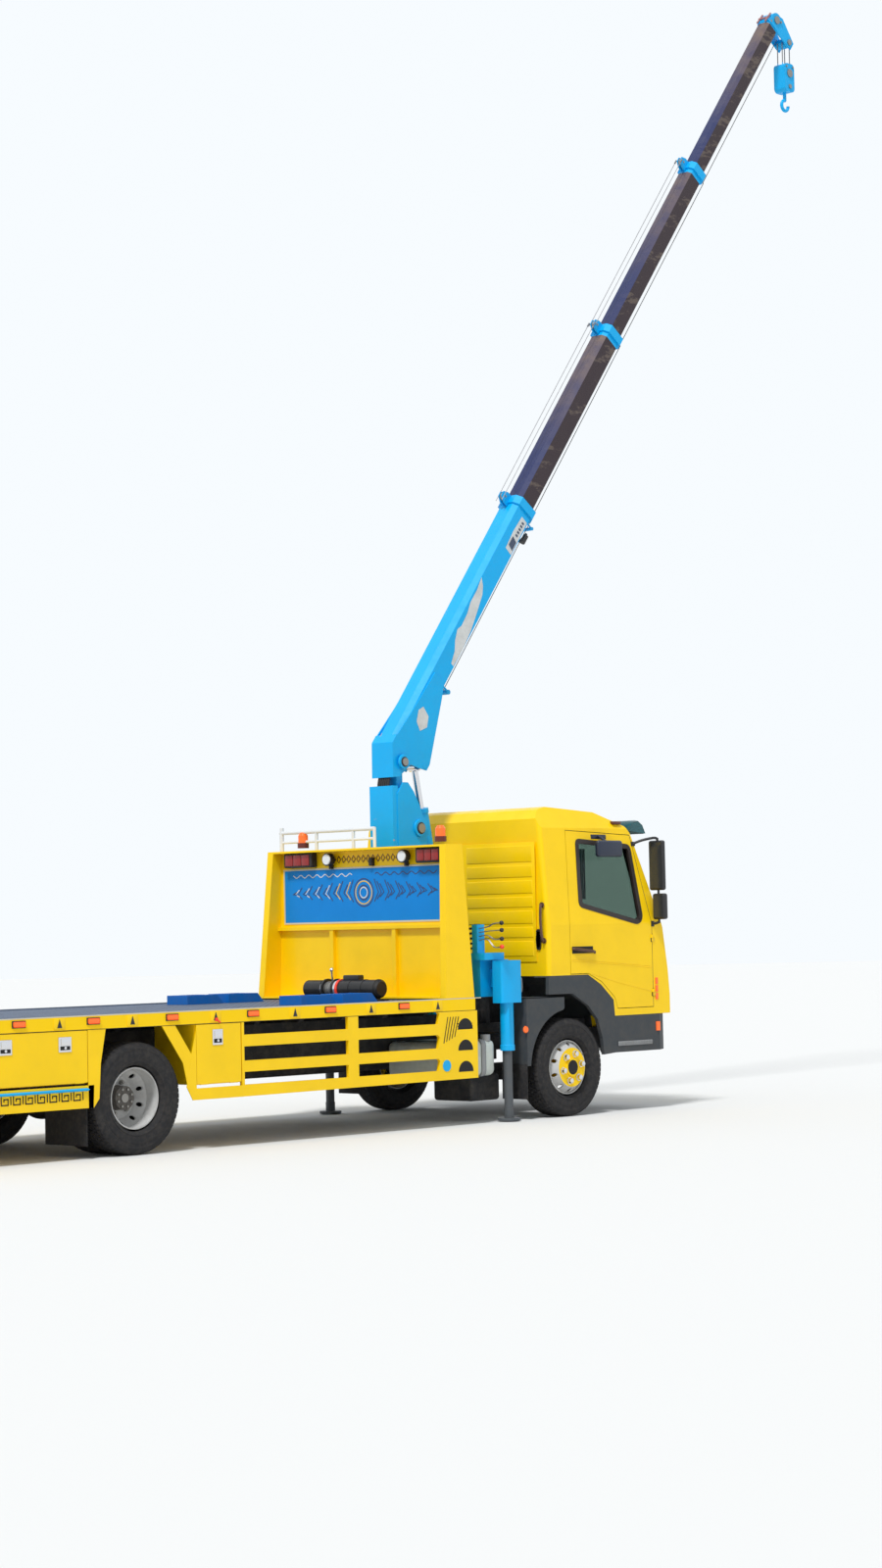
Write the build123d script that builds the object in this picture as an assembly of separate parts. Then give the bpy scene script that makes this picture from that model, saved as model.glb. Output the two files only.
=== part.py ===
from build123d import *
import math
import os

os.makedirs("parts", exist_ok=True)

# Wheels and axles. x runs forward from the front axle, y to the left, z up from the ground.
wheelbase = 4820
rear_axle_x = -wheelbase
tyre_radius = 421
tyre_width = 240
rim_flange_radius = 237.5
rim_wall = 9
front_track = 2060
twin_pitch = 272
rear_outer_y = 1018
kingpin_offset = 170
kingpin_y = front_track / 2 - kingpin_offset
kingpin_radius = 24
pilot_radius = 78
drum_radius = 158
spindle_radius = 30
rear_spindle_radius = 45
wheel_offset = 136
hand_hole_count = 10
leaf_thickness = 12

# Play between pieces that rest on each other
seat_gap = 0.3

# Chassis frame and deck
frame_rear_x = rear_axle_x - 2410
frame_front_x = 1040
rail_outer_y = 400
rail_height = 200
rail_bottom_z = 600
rail_flange = 75
rail_wall = 8
tow_eye_x = 1055
tow_eye_z = 482
tow_eye_radius = 20
subframe_height = 100
bearer_bottom_z = rail_bottom_z + rail_height + subframe_height
deck_half_width = 1150
deck_top_z = 1045
deck_plate = 5
side_rail_height = 104
side_rail_top_z = 1055
side_rail_width = 60
deck_rear_x = rear_axle_x - 2480
deck_front_x = -1170
crossbearer_pitch = 480
crossbearer_width = 50

# Side guards and tool boxes
guard_top_z = 951
guard_bottom_z = 378
guard_wall = 30
small_box_rear_x = rear_axle_x + 567
small_box_front_x = rear_axle_x + 1030
small_box_bottom_z = 490
rear_box_rear_x = rear_axle_x - 1740
gusset_thickness = 6
rear_box_front_x = rear_axle_x - 480
rear_box_bottom_z = 560
tool_box_depth = 480
tool_box_wall = 20
tool_door_gap = 6
tool_door_thickness = 20
tool_hinge_radius = 7
tool_hinge_y = deck_half_width - tool_hinge_radius

# Headboard between deck and crane
headboard_front_bottom_x = -1172
headboard_front_top_x = -1223
headboard_rear_bottom_x = -1510
headboard_rear_top_x = -1420
headboard_top_z = 2333
headboard_bottom_half_width = deck_half_width - 5
headboard_top_half_width = deck_half_width - 64
headboard_flange = 70
headboard_wall = 12
guard_rail_x = -1270

# Crane pedestal, column and outriggers
slew_x = -750
crane_box_rear_x = -900
crane_box_front_x = -550
crane_box_bottom_z = 1050
crane_box_top_z = 1360
crane_box_half_width = 960
outrigger_leg_x = -719
outrigger_leg_y = crane_box_half_width + 126
foot_clearance = 8
jack_radius = 38
pivot_x = -950
pivot_z = 3075
winch_x = -785
winch_z = 2200
lift_foot_x = -420
lift_foot_z = 1800
lift_eye_x = -670
lift_eye_z = 3050
column_side_y = 150

# Boom, drawn along its own length and then raised about the pivot
boom_elevation = 53.2
boom_axis_offset = 57

# Cab
cab_half_width = 1150
cab_wall = 45
door_thickness = 60
cab_rear_x = -250
door_rear_x = 30
door_front_x = 1126
door_gap = 5
door_hinge_x = 1118
door_hinge_y = cab_half_width + 2
hinge_levels = (1000, 1480)
cab_pivot_x = 1250
cab_pivot_z = 620
cab_lug_y = 300
cab_floor_bottom = 1208


def box(x0, x1, y0, y1, z0, z1):
    return Pos((x0 + x1) / 2, (y0 + y1) / 2, (z0 + z1) / 2) * Box(x1 - x0, y1 - y0, z1 - z0)


def rod_x(x0, x1, y, z, radius):
    return Pos((x0 + x1) / 2, y, z) * Rot(0, 90, 0) * Cylinder(radius, x1 - x0)


def rod_y(y0, y1, x, z, radius):
    return Pos(x, (y0 + y1) / 2, z) * Rot(90, 0, 0) * Cylinder(radius, y1 - y0)


def rod_z(z0, z1, x, y, radius):
    return Pos(x, y, (z0 + z1) / 2) * Cylinder(radius, z1 - z0)


def side_prism(points, y0, y1):
    outline = make_face(Polyline(*[(x, y0, z) for x, z in points], close=True))
    return extrude(outline, amount=y1 - y0, dir=(0, 1, 0))


def end_prism(points, x0, x1):
    outline = make_face(Polyline(*[(x0, y, z) for y, z in points], close=True))
    return extrude(outline, amount=x1 - x0, dir=(1, 0, 0))


def plan_prism(points, z0, z1):
    outline = make_face(Polyline(*[(x, y, z0) for x, y in points], close=True))
    return extrude(outline, amount=z1 - z0, dir=(0, 0, 1))


def other_side(shape):
    return mirror(shape, about=Plane.XZ)


def both_sides(shape):
    return [shape, other_side(shape)]


def save(node, pieces):
    solids = []
    for piece in pieces if isinstance(pieces, (list, tuple)) else [pieces]:
        solids += list(piece.solids())
    moved = [Pos(origin_shift, 0, 0) * solid for solid in solids]
    export_step(moved[0] if len(moved) == 1 else Compound(children=moved), f"parts/{node}.step")


# Wheels, tyres and axles

def tyre(y_middle):
    half = tyre_width / 2
    bead = rim_flange_radius - 6
    outline = Polyline((bead, -half + 35), (bead + 40, -half + 6), (tyre_radius - 70, -half),
                       (tyre_radius - 16, -half + 14), (tyre_radius, -half + 34), (tyre_radius, half - 34),
                       (tyre_radius - 16, half - 14), (tyre_radius - 70, half), (bead + 40, half - 6),
                       (bead, half - 35), close=True)
    ring = revolve(make_face(outline), axis=Axis.Y, revolution_arc=360)
    return Pos(0, y_middle, tyre_radius) * ring


def rim(y_middle, outward):
    """A pressed disc wheel: rim barrel with two flanges, coned disc with hand holes and a bolting face."""
    half = tyre_width / 2 - 38
    outer = rim_flange_radius - 6.5
    inner = outer - rim_wall
    face = wheel_offset
    outline = [(inner, -half), (outer, -half), (outer, half), (inner, half), (inner, 62), (168, face),
               (pilot_radius, face), (pilot_radius, face - 10), (160, face - 10), (inner, 46)]
    wheel = revolve(make_face(Polyline(*[(r, outward * y) for r, y in outline], close=True)), axis=Axis.Y,
                    revolution_arc=360)
    for turn in range(hand_hole_count):
        angle = 2 * math.pi * (turn + 0.5) / hand_hole_count
        wheel -= rod_y(min(0, outward * 150), max(0, outward * 150), 193 * math.cos(angle), 193 * math.sin(angle), 17)
    return Pos(0, y_middle, tyre_radius) * wheel


def side_rod_y(side, near, far, x, z, radius):
    """A cylinder across the truck from near to far, measured outwards on the given side."""
    y0, y1 = sorted((side * near, side * far))
    return rod_y(y0, y1, x, z, radius)


def front_wheel(side):
    name = "left" if side > 0 else "right"
    centre = front_track / 2
    save(f"tyre_front_{name}", tyre(side * centre))
    wheel = rim(side * centre, side)
    wheel += side_rod_y(side, centre - 65, centre + wheel_offset - 10, 0, tyre_radius, pilot_radius + 20)
    wheel += side_rod_y(side, centre - 65, centre - 10, 0, tyre_radius, drum_radius)
    wheel += side_rod_y(side, centre + wheel_offset - 12, centre + wheel_offset + 12, 0, tyre_radius, pilot_radius)
    wheel -= side_rod_y(side, centre - 70, centre + 65, 0, tyre_radius, spindle_radius + 0.05)
    save(f"rim_front_{name}", wheel)


def rear_wheels(side):
    name = "left" if side > 0 else "right"
    outer = rear_outer_y
    inner = rear_outer_y - twin_pitch
    shift = Pos(-wheelbase, 0, 0)
    save(f"tyre_rear_{name}", [shift * tyre(side * outer), shift * tyre(side * inner)])
    wheels = rim(side * outer, -side) + rim(side * inner, side)
    wheels += side_rod_y(side, 700, 890, 0, tyre_radius, drum_radius)
    wheels += side_rod_y(side, 700, outer - wheel_offset + 100, 0, tyre_radius, pilot_radius + 12)
    wheels -= side_rod_y(side, 690, 960, 0, tyre_radius, rear_spindle_radius + 0.05)
    save(f"rim_rear_{name}", shift * wheels)


def side_box(side, x0, x1, near, far, z0, z1):
    """A block on the given side, from near to far outwards from the middle plane."""
    y0, y1 = sorted((side * near, side * far))
    return box(x0, x1, y0, y1, z0, z1)


def knuckle(side):
    arm_far = kingpin_y + 92
    piece = rod_z(tyre_radius - 110, tyre_radius + 110, 0, side * kingpin_y, kingpin_radius)
    for low in (-110, 62):
        piece += rod_z(tyre_radius + low, tyre_radius + low + 48, 0, side * kingpin_y, 45)
        piece += side_box(side, -40, 40, kingpin_y, arm_far, tyre_radius + low, tyre_radius + low + 48)
    piece += side_box(side, -40, 40, arm_far - 44, arm_far, tyre_radius - 110, tyre_radius + 110)
    piece += side_rod_y(side, arm_far - 12, arm_far, 0, tyre_radius, drum_radius - 5)
    piece += side_rod_y(side, arm_far - 12, front_track / 2 + 60, 0, tyre_radius, spindle_radius)
    piece += side_box(side, -190, -30, arm_far - 64, arm_far - 34, tyre_radius - 105, tyre_radius - 75)
    return piece


def front_axle():
    low = tyre_radius - 120
    beam = box(-45, 45, -kingpin_y + 160, kingpin_y - 160, low, low + 90)
    for side in (1, -1):
        beam += side_box(side, -45, 45, kingpin_y - 200, kingpin_y - 90, low, tyre_radius + 50)
        beam += side_box(side, -40, 40, kingpin_y - 100, kingpin_y, tyre_radius - 50, tyre_radius + 50)
        beam += rod_z(tyre_radius - 50, tyre_radius + 50, 0, side * kingpin_y, 40)
        beam -= rod_z(tyre_radius - 60, tyre_radius + 60, 0, side * kingpin_y, kingpin_radius + 0.05)
    return beam


def rear_axle():
    """Banjo axle casing with its differential, the nose of the pinion and the propeller shaft to the engine."""
    centre = -wheelbase
    casing = rod_y(-660, 660, centre, tyre_radius, 62)
    casing += rod_y(-955, 955, centre, tyre_radius, rear_spindle_radius)
    for side in (1, -1):
        casing += side_rod_y(side, 672, 692, centre, tyre_radius, drum_radius - 5)
        casing += side_rod_y(side, 650, 692, centre, tyre_radius, 62)
    bowl = Pos(centre, 0, tyre_radius) * Sphere(185)
    bowl &= box(centre - 130, centre + 190, -185, 185, tyre_radius - 185, tyre_radius + 185)
    nose = rod_x(centre + 60, centre + 320, 0, tyre_radius + 60, 70)
    shaft = rod_x(centre + 300, engine_rear_x - 0.3, 0, tyre_radius + 60, 45)
    return casing + bowl + nose + shaft


def leaf_springs():
    """Each spring is a bowed pack of leaves under a frame rail, on its two hangers."""
    springs = []
    for axle_x, length, seat_z, leaf_count in ((0, 1300, tyre_radius - 29.7, 5), (-wheelbase, 1350, tyre_radius + 62.3, 7)):
        for side in (1, -1):
            y = side * 365
            leaf = leaf_thickness
            stack = None
            top = seat_z + leaf_count * leaf
            for index in range(leaf_count):
                half = length / 2 * (1 - 0.8 * index / leaf_count)
                z = top - (index + 1) * leaf
                piece = box(axle_x - half, axle_x + half, y - 35, y + 35, z, z + leaf + 0.2)
                stack = piece if stack is None else stack + piece
            for end in (-1, 1):
                x = axle_x + end * (length / 2 - 20)
                stack += box(x - 25, x + 25, y - 35, y + 35, top - 10, rail_bottom_z)
            springs.append(stack)
    return springs


# Chassis frame and deck

def frame_rails():
    """Each rail is a channel with its sub-frame beam, towing eye, cab pivot bracket and cab rest."""
    rail = box(frame_rear_x, frame_front_x, rail_outer_y - rail_flange, rail_outer_y, rail_bottom_z,
               rail_bottom_z + rail_height)
    rail -= box(frame_rear_x - 1, frame_front_x + 1, rail_outer_y - rail_flange - 1, rail_outer_y - rail_wall,
                rail_bottom_z + rail_wall, rail_bottom_z + rail_height - rail_wall)
    rail += box(deck_rear_x + 40, crane_box_front_x, rail_outer_y - 80, rail_outer_y, rail_bottom_z + rail_height,
                rail_bottom_z + rail_height + subframe_height)
    rail += box(980, 1100, rail_outer_y - 33, rail_outer_y - rail_wall, tow_eye_z - 45, rail_bottom_z + 2)
    rail -= rod_y(rail_outer_y - 40, rail_outer_y, tow_eye_x, tow_eye_z, tow_eye_radius)
    rail += box(950, cab_pivot_x + 40, cab_lug_y + 25 + seat_gap, cab_lug_y + 55, cab_pivot_z - 30, cab_pivot_z + 90)
    rail += rod_y(cab_lug_y - 5, cab_lug_y + 30, cab_pivot_x, cab_pivot_z, 15)
    rail += box(-240, -190, cab_lug_y + 30, cab_lug_y + 90, rail_bottom_z + rail_height, cab_floor_bottom - seat_gap)
    return both_sides(rail)


def frame_cross_members():
    """Pressed members between the two rails, from behind the rear axle to the front end."""
    places = [rear_axle_x + offset for offset in (-2330, -1280, -630, 670)] + [-3100, -2050, -950, 900]
    inside = rail_outer_y - rail_wall
    return [box(x - 40, x + 40, -inside, inside, rail_bottom_z + 40, rail_bottom_z + rail_height - 40) for x in places]


def deck():
    plate_bottom = deck_top_z - deck_plate
    rail_bottom = side_rail_top_z - side_rail_height
    floor = box(deck_rear_x, deck_front_x, -deck_half_width + 4, deck_half_width - 4, plate_bottom, deck_top_z)
    rail = box(deck_rear_x, deck_front_x, deck_half_width - side_rail_width, deck_half_width, rail_bottom,
               side_rail_top_z)
    rail -= box(deck_rear_x - 1, deck_front_x + 1, deck_half_width - side_rail_width - 1, deck_half_width - 6,
                rail_bottom + 6, plate_bottom)
    floor += rail + other_side(rail)
    return floor + box(deck_rear_x, deck_rear_x + 60, -deck_half_width, deck_half_width, bearer_bottom_z,
                       side_rail_top_z)


def deck_bearers():
    """Cross-bearers under the deck plate, each thinner towards its ends, between the side rails."""
    plate_bottom = deck_top_z - deck_plate
    arm_z = guard_top_z + 4
    end_y = deck_half_width - side_rail_width
    bearer = [(-600, bearer_bottom_z), (600, bearer_bottom_z), (660, arm_z), (end_y, arm_z), (end_y, plate_bottom),
              (-end_y, plate_bottom), (-end_y, arm_z), (-660, arm_z)]
    count = int((deck_front_x - 60 - deck_rear_x - 100) / crossbearer_pitch)
    places = [deck_rear_x + 300 + index * crossbearer_pitch for index in range(count + 1)]
    return [end_prism(bearer, x, x + crossbearer_width) for x in places]


# Side guards, tool boxes and rear wheel panels

front_panel_end_x = -1150
guard_post_x = -2589
guard_rear_x = small_box_front_x + 5
guard_front_x = -1600
guard_slots = ((851, 951), (652, 761), (468, 566))


def guard_panel():
    """Bent sheet guard of three rails, with the panel that closes it at the front."""
    outline = [(guard_rear_x, guard_bottom_z), (front_panel_end_x, 390), (front_panel_end_x, guard_top_z),
               (guard_rear_x, guard_top_z)]
    panel = side_prism(outline, deck_half_width - guard_wall, deck_half_width)
    for low, high in guard_slots:
        top = high if high < guard_top_z else guard_top_z + 1
        panel -= side_prism([(guard_rear_x + 25, low), (guard_front_x - 20, low), (guard_front_x, high - 20),
                             (guard_front_x - 20, top), (guard_rear_x + 25, top)],
                            deck_half_width - guard_wall - 1, deck_half_width + 1)
    panel += box(guard_post_x - 57, guard_post_x + 57, deck_half_width - guard_wall, deck_half_width,
                 guard_bottom_z + 20, guard_top_z)
    for z in (800, 822, 844):
        panel -= box(-1388, -1206, deck_half_width - guard_wall - 1, deck_half_width + 1, z - 4, z + 4)
    return panel


def wheel_panel():
    """Two gusset panels that carry the skirt round the rear wheels."""
    near, far = deck_half_width - gusset_thickness, deck_half_width
    rear = [(-480, guard_bottom_z), (-432, guard_bottom_z), (-379, 442), (-361, 699), (-310, guard_top_z),
            (-480, guard_top_z)]
    front = [(529, guard_bottom_z), (482, 475), (437, 662), (230, guard_top_z), (362, guard_top_z), (567, 660),
             (567, guard_bottom_z)]
    return [side_prism([(rear_axle_x + x, z) for x, z in outline], near, far) for outline in (rear, front)]


def tool_box(rear_x, front_x, bottom_z):
    outer = box(rear_x, front_x, deck_half_width - tool_box_depth, deck_half_width - tool_door_thickness - seat_gap,
                bottom_z, guard_top_z)
    outer -= box(rear_x + tool_box_wall, front_x - tool_box_wall, deck_half_width - tool_box_depth + tool_box_wall,
                 deck_half_width, bottom_z + tool_box_wall, guard_top_z - tool_box_wall)
    return outer


def tool_door(rear_x, front_x, bottom_z):
    door = box(rear_x + tool_door_gap, front_x - tool_door_gap, deck_half_width - tool_door_thickness,
               deck_half_width, bottom_z + tool_door_gap, guard_top_z - tool_door_gap)
    for x in (rear_x + 80, front_x - 80):
        door += rod_x(x - 40, x + 40, tool_hinge_y, bottom_z + tool_door_gap, tool_hinge_radius)
    return door


def rear_bumper():
    bar = box(deck_rear_x + 10, deck_rear_x + 90, -1080, 1080, 420, 520)
    for side in (1, -1):
        bar += side_box(side, frame_rear_x, frame_rear_x + 60, rail_outer_y, rail_outer_y + 50, 500, 880)
        bar += side_box(side, deck_rear_x + 40, frame_rear_x + 10, rail_outer_y, rail_outer_y + 50, 440, 500)
        bar += box(deck_rear_x + 10, deck_rear_x + 70, min(side * 700, side * 1060), max(side * 700, side * 1060),
                   620, 740)
        bar += box(deck_rear_x + 20, deck_rear_x + 70, side * 740 - 20, side * 740 + 20, 510, 640)
    return bar


def mud_guards(side):
    """Rubber flap behind the rear wheels and the moulded guard behind the front wheel."""
    flap_x = rear_axle_x - 470
    flap = side_box(side, flap_x, flap_x + 8, 620, 1110, 95, 560)
    flap += side_box(side, flap_x - 6, flap_x + 14, rail_outer_y, 1110, 555, 610)
    front = side_box(side, -578, -562, 800, 1150, 590, 985)
    front += side_box(side, -578, -540, rail_outer_y, 820, 700, 740)
    return [flap, front]


def fuel_tank():
    tank = box(-2300, -890, -980, -rail_outer_y - 40, 400, 700)
    tank = fillet(tank.edges().filter_by(Axis.X), radius=70)
    for x in (-2000, -1250):
        tank += box(x - 30, x + 30, -600, -rail_outer_y, 610, 660)
    return tank


def silencer_and_battery():
    silencer = fillet(box(-980, -620, -900, -450, 175, 400).edges(), radius=30)
    silencer += box(-830, -770, -470, -rail_outer_y, 300, 780)
    battery = box(-1900, -1300, rail_outer_y, 800, 500, 780)
    return [silencer, battery]


engine_rear_x = -760


def engine_block():
    block = box(-540, 430, -290, 290, 560, 1095)
    return block + box(engine_rear_x, -530, -150, 150, 400, 640) + box(-560, -300, -200, 200, 420, 600)


# Headboard

def headboard():
    flare = headboard_bottom_half_width
    top_half = headboard_top_half_width
    outline = [(-flare, side_rail_top_z), (flare, side_rail_top_z), (top_half, headboard_top_z),
               (-top_half, headboard_top_z)]
    body = side_prism([(headboard_rear_bottom_x, side_rail_top_z), (headboard_front_bottom_x, side_rail_top_z),
                       (headboard_front_top_x, headboard_top_z), (headboard_rear_top_x, headboard_top_z)],
                      -flare, flare)
    body &= end_prism(outline, headboard_rear_bottom_x - 10, headboard_front_bottom_x + 10)
    inset = headboard_flange
    pocket = end_prism([(-flare + inset, side_rail_top_z + 15), (flare - inset, side_rail_top_z + 15),
                        (top_half - inset, headboard_top_z - 18), (-top_half + inset, headboard_top_z - 18)],
                       headboard_rear_bottom_x - 20, -1310)
    hollow = end_prism([(-flare + headboard_wall, side_rail_top_z - 1), (flare - headboard_wall, side_rail_top_z - 1),
                        (top_half - headboard_wall, headboard_top_z - 8),
                        (-top_half + headboard_wall, headboard_top_z - 8)], -1298, headboard_front_bottom_x + 20)
    body = body - pocket - hollow
    body += box(-1350, -1305, -1050, 1050, 1640, 1670)
    for y in (380, -380):
        body += box(-1345, -1305, y - 22, y + 22, side_rail_top_z + 10, 1650)
    rail_z = 2500
    top = rod_y(150, 1080, guard_rail_x, rail_z, 17)
    for y in (160, 620, 1070):
        top += rod_z(headboard_top_z - 6, rail_z, guard_rail_x, y, 15)
    top += rod_y(150, 1080, guard_rail_x, 2415, 12)
    return body + top


def headboard_lamps():
    pieces = []
    for side in (1, -1):
        y = side * 830
        pieces.append(box(-1400, -1310.3, y - 90, y + 90, 2195, 2300))
    for y in (420, -460):
        pieces.append(box(-1390, -1310.3, y - 35, y + 35, 2210, 2300))
    for y in (800, -750):
        pieces.append(rod_z(headboard_top_z + 0.3, headboard_top_z + 110, -1365, y, 45))
    return pieces


def deck_winch():
    base = deck_top_z + 0.3
    drum = rod_y(-330, -30, -1720, base + 110, 60)
    drum += rod_y(-40, -20, -1720, base + 110, 100) + rod_y(-350, -330, -1720, base + 110, 100)
    drum += box(-1810, -1630, -20, 180, base, base + 200)
    drum += box(-1790, -1650, -450, -345, base, base + 170)
    drum += box(-1810, -1630, -460, 180, base, base + 18)
    return drum + rod_z(base + 190, base + 290, -1720, 60, 10)


def wheel_chocks():
    base = deck_top_z + 0.3
    pieces = []
    for side in (1, -1):
        for x in (-2840, -2380):
            outline = [(x, base), (x + 400, base), (x + 330, base + 75), (x, base + 75)]
            y0, y1 = sorted((side * 560, side * 820))
            frame = side_prism(outline, y0, y1)
            frame -= box(x + 60, x + 280, y0 + 40, y1 - 40, base + 20, base + 100)
            pieces.append(frame)
    return pieces


# Crane pedestal, outriggers and column

beam_half_height = 75
beam_half_width = 60
beam_fit = 0.5


def crane_base():
    body = box(crane_box_rear_x, crane_box_front_x, -crane_box_half_width, crane_box_half_width, crane_box_bottom_z,
               crane_box_top_z)
    tunnel_z = 1205
    body -= box(outrigger_leg_x - beam_half_width - beam_fit, outrigger_leg_x + beam_half_width + beam_fit,
                -crane_box_half_width - 1, crane_box_half_width + 1, tunnel_z - beam_half_height - beam_fit,
                tunnel_z + beam_half_height + beam_fit)
    body += rod_z(crane_box_top_z - 5, 1500, slew_x, 0, 190)
    for side in (1, -1):
        y0, y1 = sorted((side * 320, side * 400))
        body += box(crane_box_rear_x, crane_box_front_x, y0, y1, rail_bottom_z + rail_height + subframe_height,
                    crane_box_bottom_z + 5)
    return body


def outrigger_beam(side):
    z = 1205
    y0, y1 = sorted((side * 200, side * (outrigger_leg_y - 56)))
    beam = box(outrigger_leg_x - beam_half_width, outrigger_leg_x + beam_half_width, y0, y1, z - beam_half_height,
               z + beam_half_height)
    beam += box(-836, -587, side * outrigger_leg_y - 62, side * outrigger_leg_y + 62, 996, 1353)
    tube = rod_z(594, 1340, outrigger_leg_x, side * outrigger_leg_y, 57)
    beam += tube
    return beam - rod_z(500, 1330, outrigger_leg_x, side * outrigger_leg_y, jack_radius + 0.5)


def jack_foot(side):
    y = side * outrigger_leg_y
    foot = rod_z(foot_clearance, foot_clearance + 22, outrigger_leg_x, y, 97)
    foot += rod_z(foot_clearance + 20, foot_clearance + 100, outrigger_leg_x, y, 42)
    return foot + rod_z(foot_clearance + 90, 900, outrigger_leg_x, y, jack_radius)


def lever_bank():
    pieces = box(-940, -700, -1050, -880, crane_box_top_z, 1420)
    return pieces + box(-930, -840, -960, -900, 1410, 1660)


def column():
    base_z = 1510
    post = box(-1020, -900, -138, 138, base_z, 2850)
    post += box(-975, -903, -85, 85, 2840, pivot_z)
    post += rod_y(-85, 85, pivot_x, pivot_z, 65)
    post -= rod_y(-120, 120, pivot_x, pivot_z, 35)
    post += box(-1080, -1018, -142, 142, base_z + 60, 2870)
    cheek = side_prism([(-1030, base_z), (-1030, 2800), (-960, 2900), (-900, 2900), (-830, 2820), (-760, 2700),
                        (-715, 2600), (-680, 2600), (-680, 2300), (-640, 1950), (-640, base_z)], 138, column_side_y)
    post += cheek + other_side(cheek)
    post += box(-1020, -600, -column_side_y, column_side_y, base_z, 1700)
    post += rod_z(1500 + seat_gap, base_z + 10, slew_x, 0, 185)
    for side in (1, -1):
        y0, y1 = sorted((side * 66, side * 88))
        lug = side_prism([(-640, 1520), (-560, 1520), (lift_foot_x + 50, lift_foot_z - 40),
                          (lift_foot_x + 50, lift_foot_z + 40), (lift_foot_x - 40, lift_foot_z + 50),
                          (-640, 1690)], y0, y1)
        post += lug
        post -= rod_y(y0 - 1, y1 + 1, lift_foot_x, lift_foot_z, 25.05)
    post += box(-760, -640, -column_side_y, column_side_y, 2440, 2570) - box(-900, -600, -138, 138, 2400, 2600)
    post += rod_y(-165, -column_side_y + 1, -765, 2505, 62)
    post -= rod_y(-200, 200, winch_x, winch_z, 30.05)
    return post


def winch_drum():
    drum = rod_y(-112, 112, winch_x, winch_z, 78)
    for side in (1, -1):
        y0, y1 = sorted((side * 112, side * 124))
        drum += rod_y(y0, y1, winch_x, winch_z, 100)
    return drum + rod_y(-148, 148, winch_x, winch_z, 30)


# Boom

def boom_place(shape):
    return Pos(pivot_x, 0, pivot_z) * Rot(0, -boom_elevation, 0) * shape


# Each section: start and end along the boom from the pivot, height, width, wall
boom_sections = (
    ("boom_base", 120, 2930, 260, 235, 8),
    ("boom_second", 2170, 5115, 228, 203, 6),
    ("boom_third", 4390, 7340, 202, 177, 5),
    ("boom_tip", 6600, 9500, 178, 153, 5),
)


def boom_profile(height, width):
    chamfer_y = width * 0.2
    chamfer_z = height * 0.14
    h = height / 2
    w = width / 2
    return [(-w, -h + chamfer_z), (-w + chamfer_y, -h), (w - chamfer_y, -h), (w, -h + chamfer_z), (w, h - chamfer_z),
            (w - chamfer_y, h), (-w + chamfer_y, h), (-w, h - chamfer_z)]


def box_section(start, end, height, width, wall):
    outer = end_prism(boom_profile(height, width), start, end)
    inner = end_prism(boom_profile(height - 2 * wall, width - 2 * wall), start - 1, end + 1)
    return Pos(0, 0, boom_axis_offset) * (outer - inner)


def collar(index):
    """Thick ring with slide pads at the mouth of a section, close round the next section."""
    name, start, end, height, width, wall = boom_sections[index]
    next_height, next_width = boom_sections[index + 1][3:5]
    outer = end_prism(boom_profile(height + 34, width + 34), end - 85, end)
    inner = end_prism(boom_profile(next_height + 1, next_width + 1), end - 90, end + 5)
    return Pos(0, 0, boom_axis_offset) * (outer - inner)


def boom_base():
    name, start, end, height, width, wall = boom_sections[0]
    boom = box_section(start, end, height, width, wall) + collar(0)
    top = boom_axis_offset + height / 2
    bottom = boom_axis_offset - height / 2
    outline = [(74, top), (-170, 8), (-120, -50), (-30, -75), (50, -100), (90, -200), (130, -285), (195, -285),
               (762, bottom), (900, bottom + 60), (900, top - 60), (500, top - 40)]
    cheek = side_prism(outline, width / 2 - 0.5, width / 2 + 12)
    boom += cheek + other_side(cheek)
    boom += side_prism([(74, top), (-170, 8), (-165, 0), (82, top - 8), (160, top - 8), (160, top)],
                       -width / 2 - 12, width / 2 + 12)
    boom += side_prism([(330, -234), (762, bottom), (762, bottom + 10), (330, -224)], -width / 2 - 12, width / 2 + 12)
    boom += rod_y(-150, 150, 0, 0, 34.95)
    for side in (1, -1):
        boom += side_rod_y(side, 52, width / 2 + 14, lift_eye_s, lift_eye_t, 25)
    return boom_place(boom)


def slid_section(index):
    name, start, end, height, width, wall = boom_sections[index]
    return boom_place(box_section(start, end, height, width, wall) + collar(index))


# Corners of the head's side plates from the boom's end and middle line, along and across
head_plate = ((-80, 95), (60, 60), (110, -60), (30, -330), (-60, -330), (-80, -80))


def boom_tip():
    name, start, end, height, width, wall = boom_sections[3]
    boom = box_section(start, end - 60, height, width, wall)
    for side in (1, -1):
        y0, y1 = sorted((side * 62, side * 74))
        boom += side_prism([(end + s, boom_axis_offset + t) for s, t in head_plate], y0, y1)
    boom += Pos(0, 0, boom_axis_offset) * end_prism(boom_profile(height + 16, width + 16), end - 80, end - 60)
    boom += rod_y(-74, 74, end + 20, boom_axis_offset, 75)
    boom += rod_y(-74, 74, end - 15, boom_axis_offset - 270, 53)
    return boom_place(boom)


elevation = math.radians(boom_elevation)
lift_dx = lift_eye_x - pivot_x
lift_dz = lift_eye_z - pivot_z
lift_eye_s = lift_dx * math.cos(elevation) + lift_dz * math.sin(elevation)
lift_eye_t = -lift_dx * math.sin(elevation) + lift_dz * math.cos(elevation)

lift_length = math.hypot(lift_eye_x - lift_foot_x, lift_eye_z - lift_foot_z)
lift_lean = math.degrees(math.atan2(lift_eye_x - lift_foot_x, lift_eye_z - lift_foot_z))


def lift_place(shape):
    return Pos(lift_foot_x, 0, lift_foot_z) * Rot(0, lift_lean, 0) * shape


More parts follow.
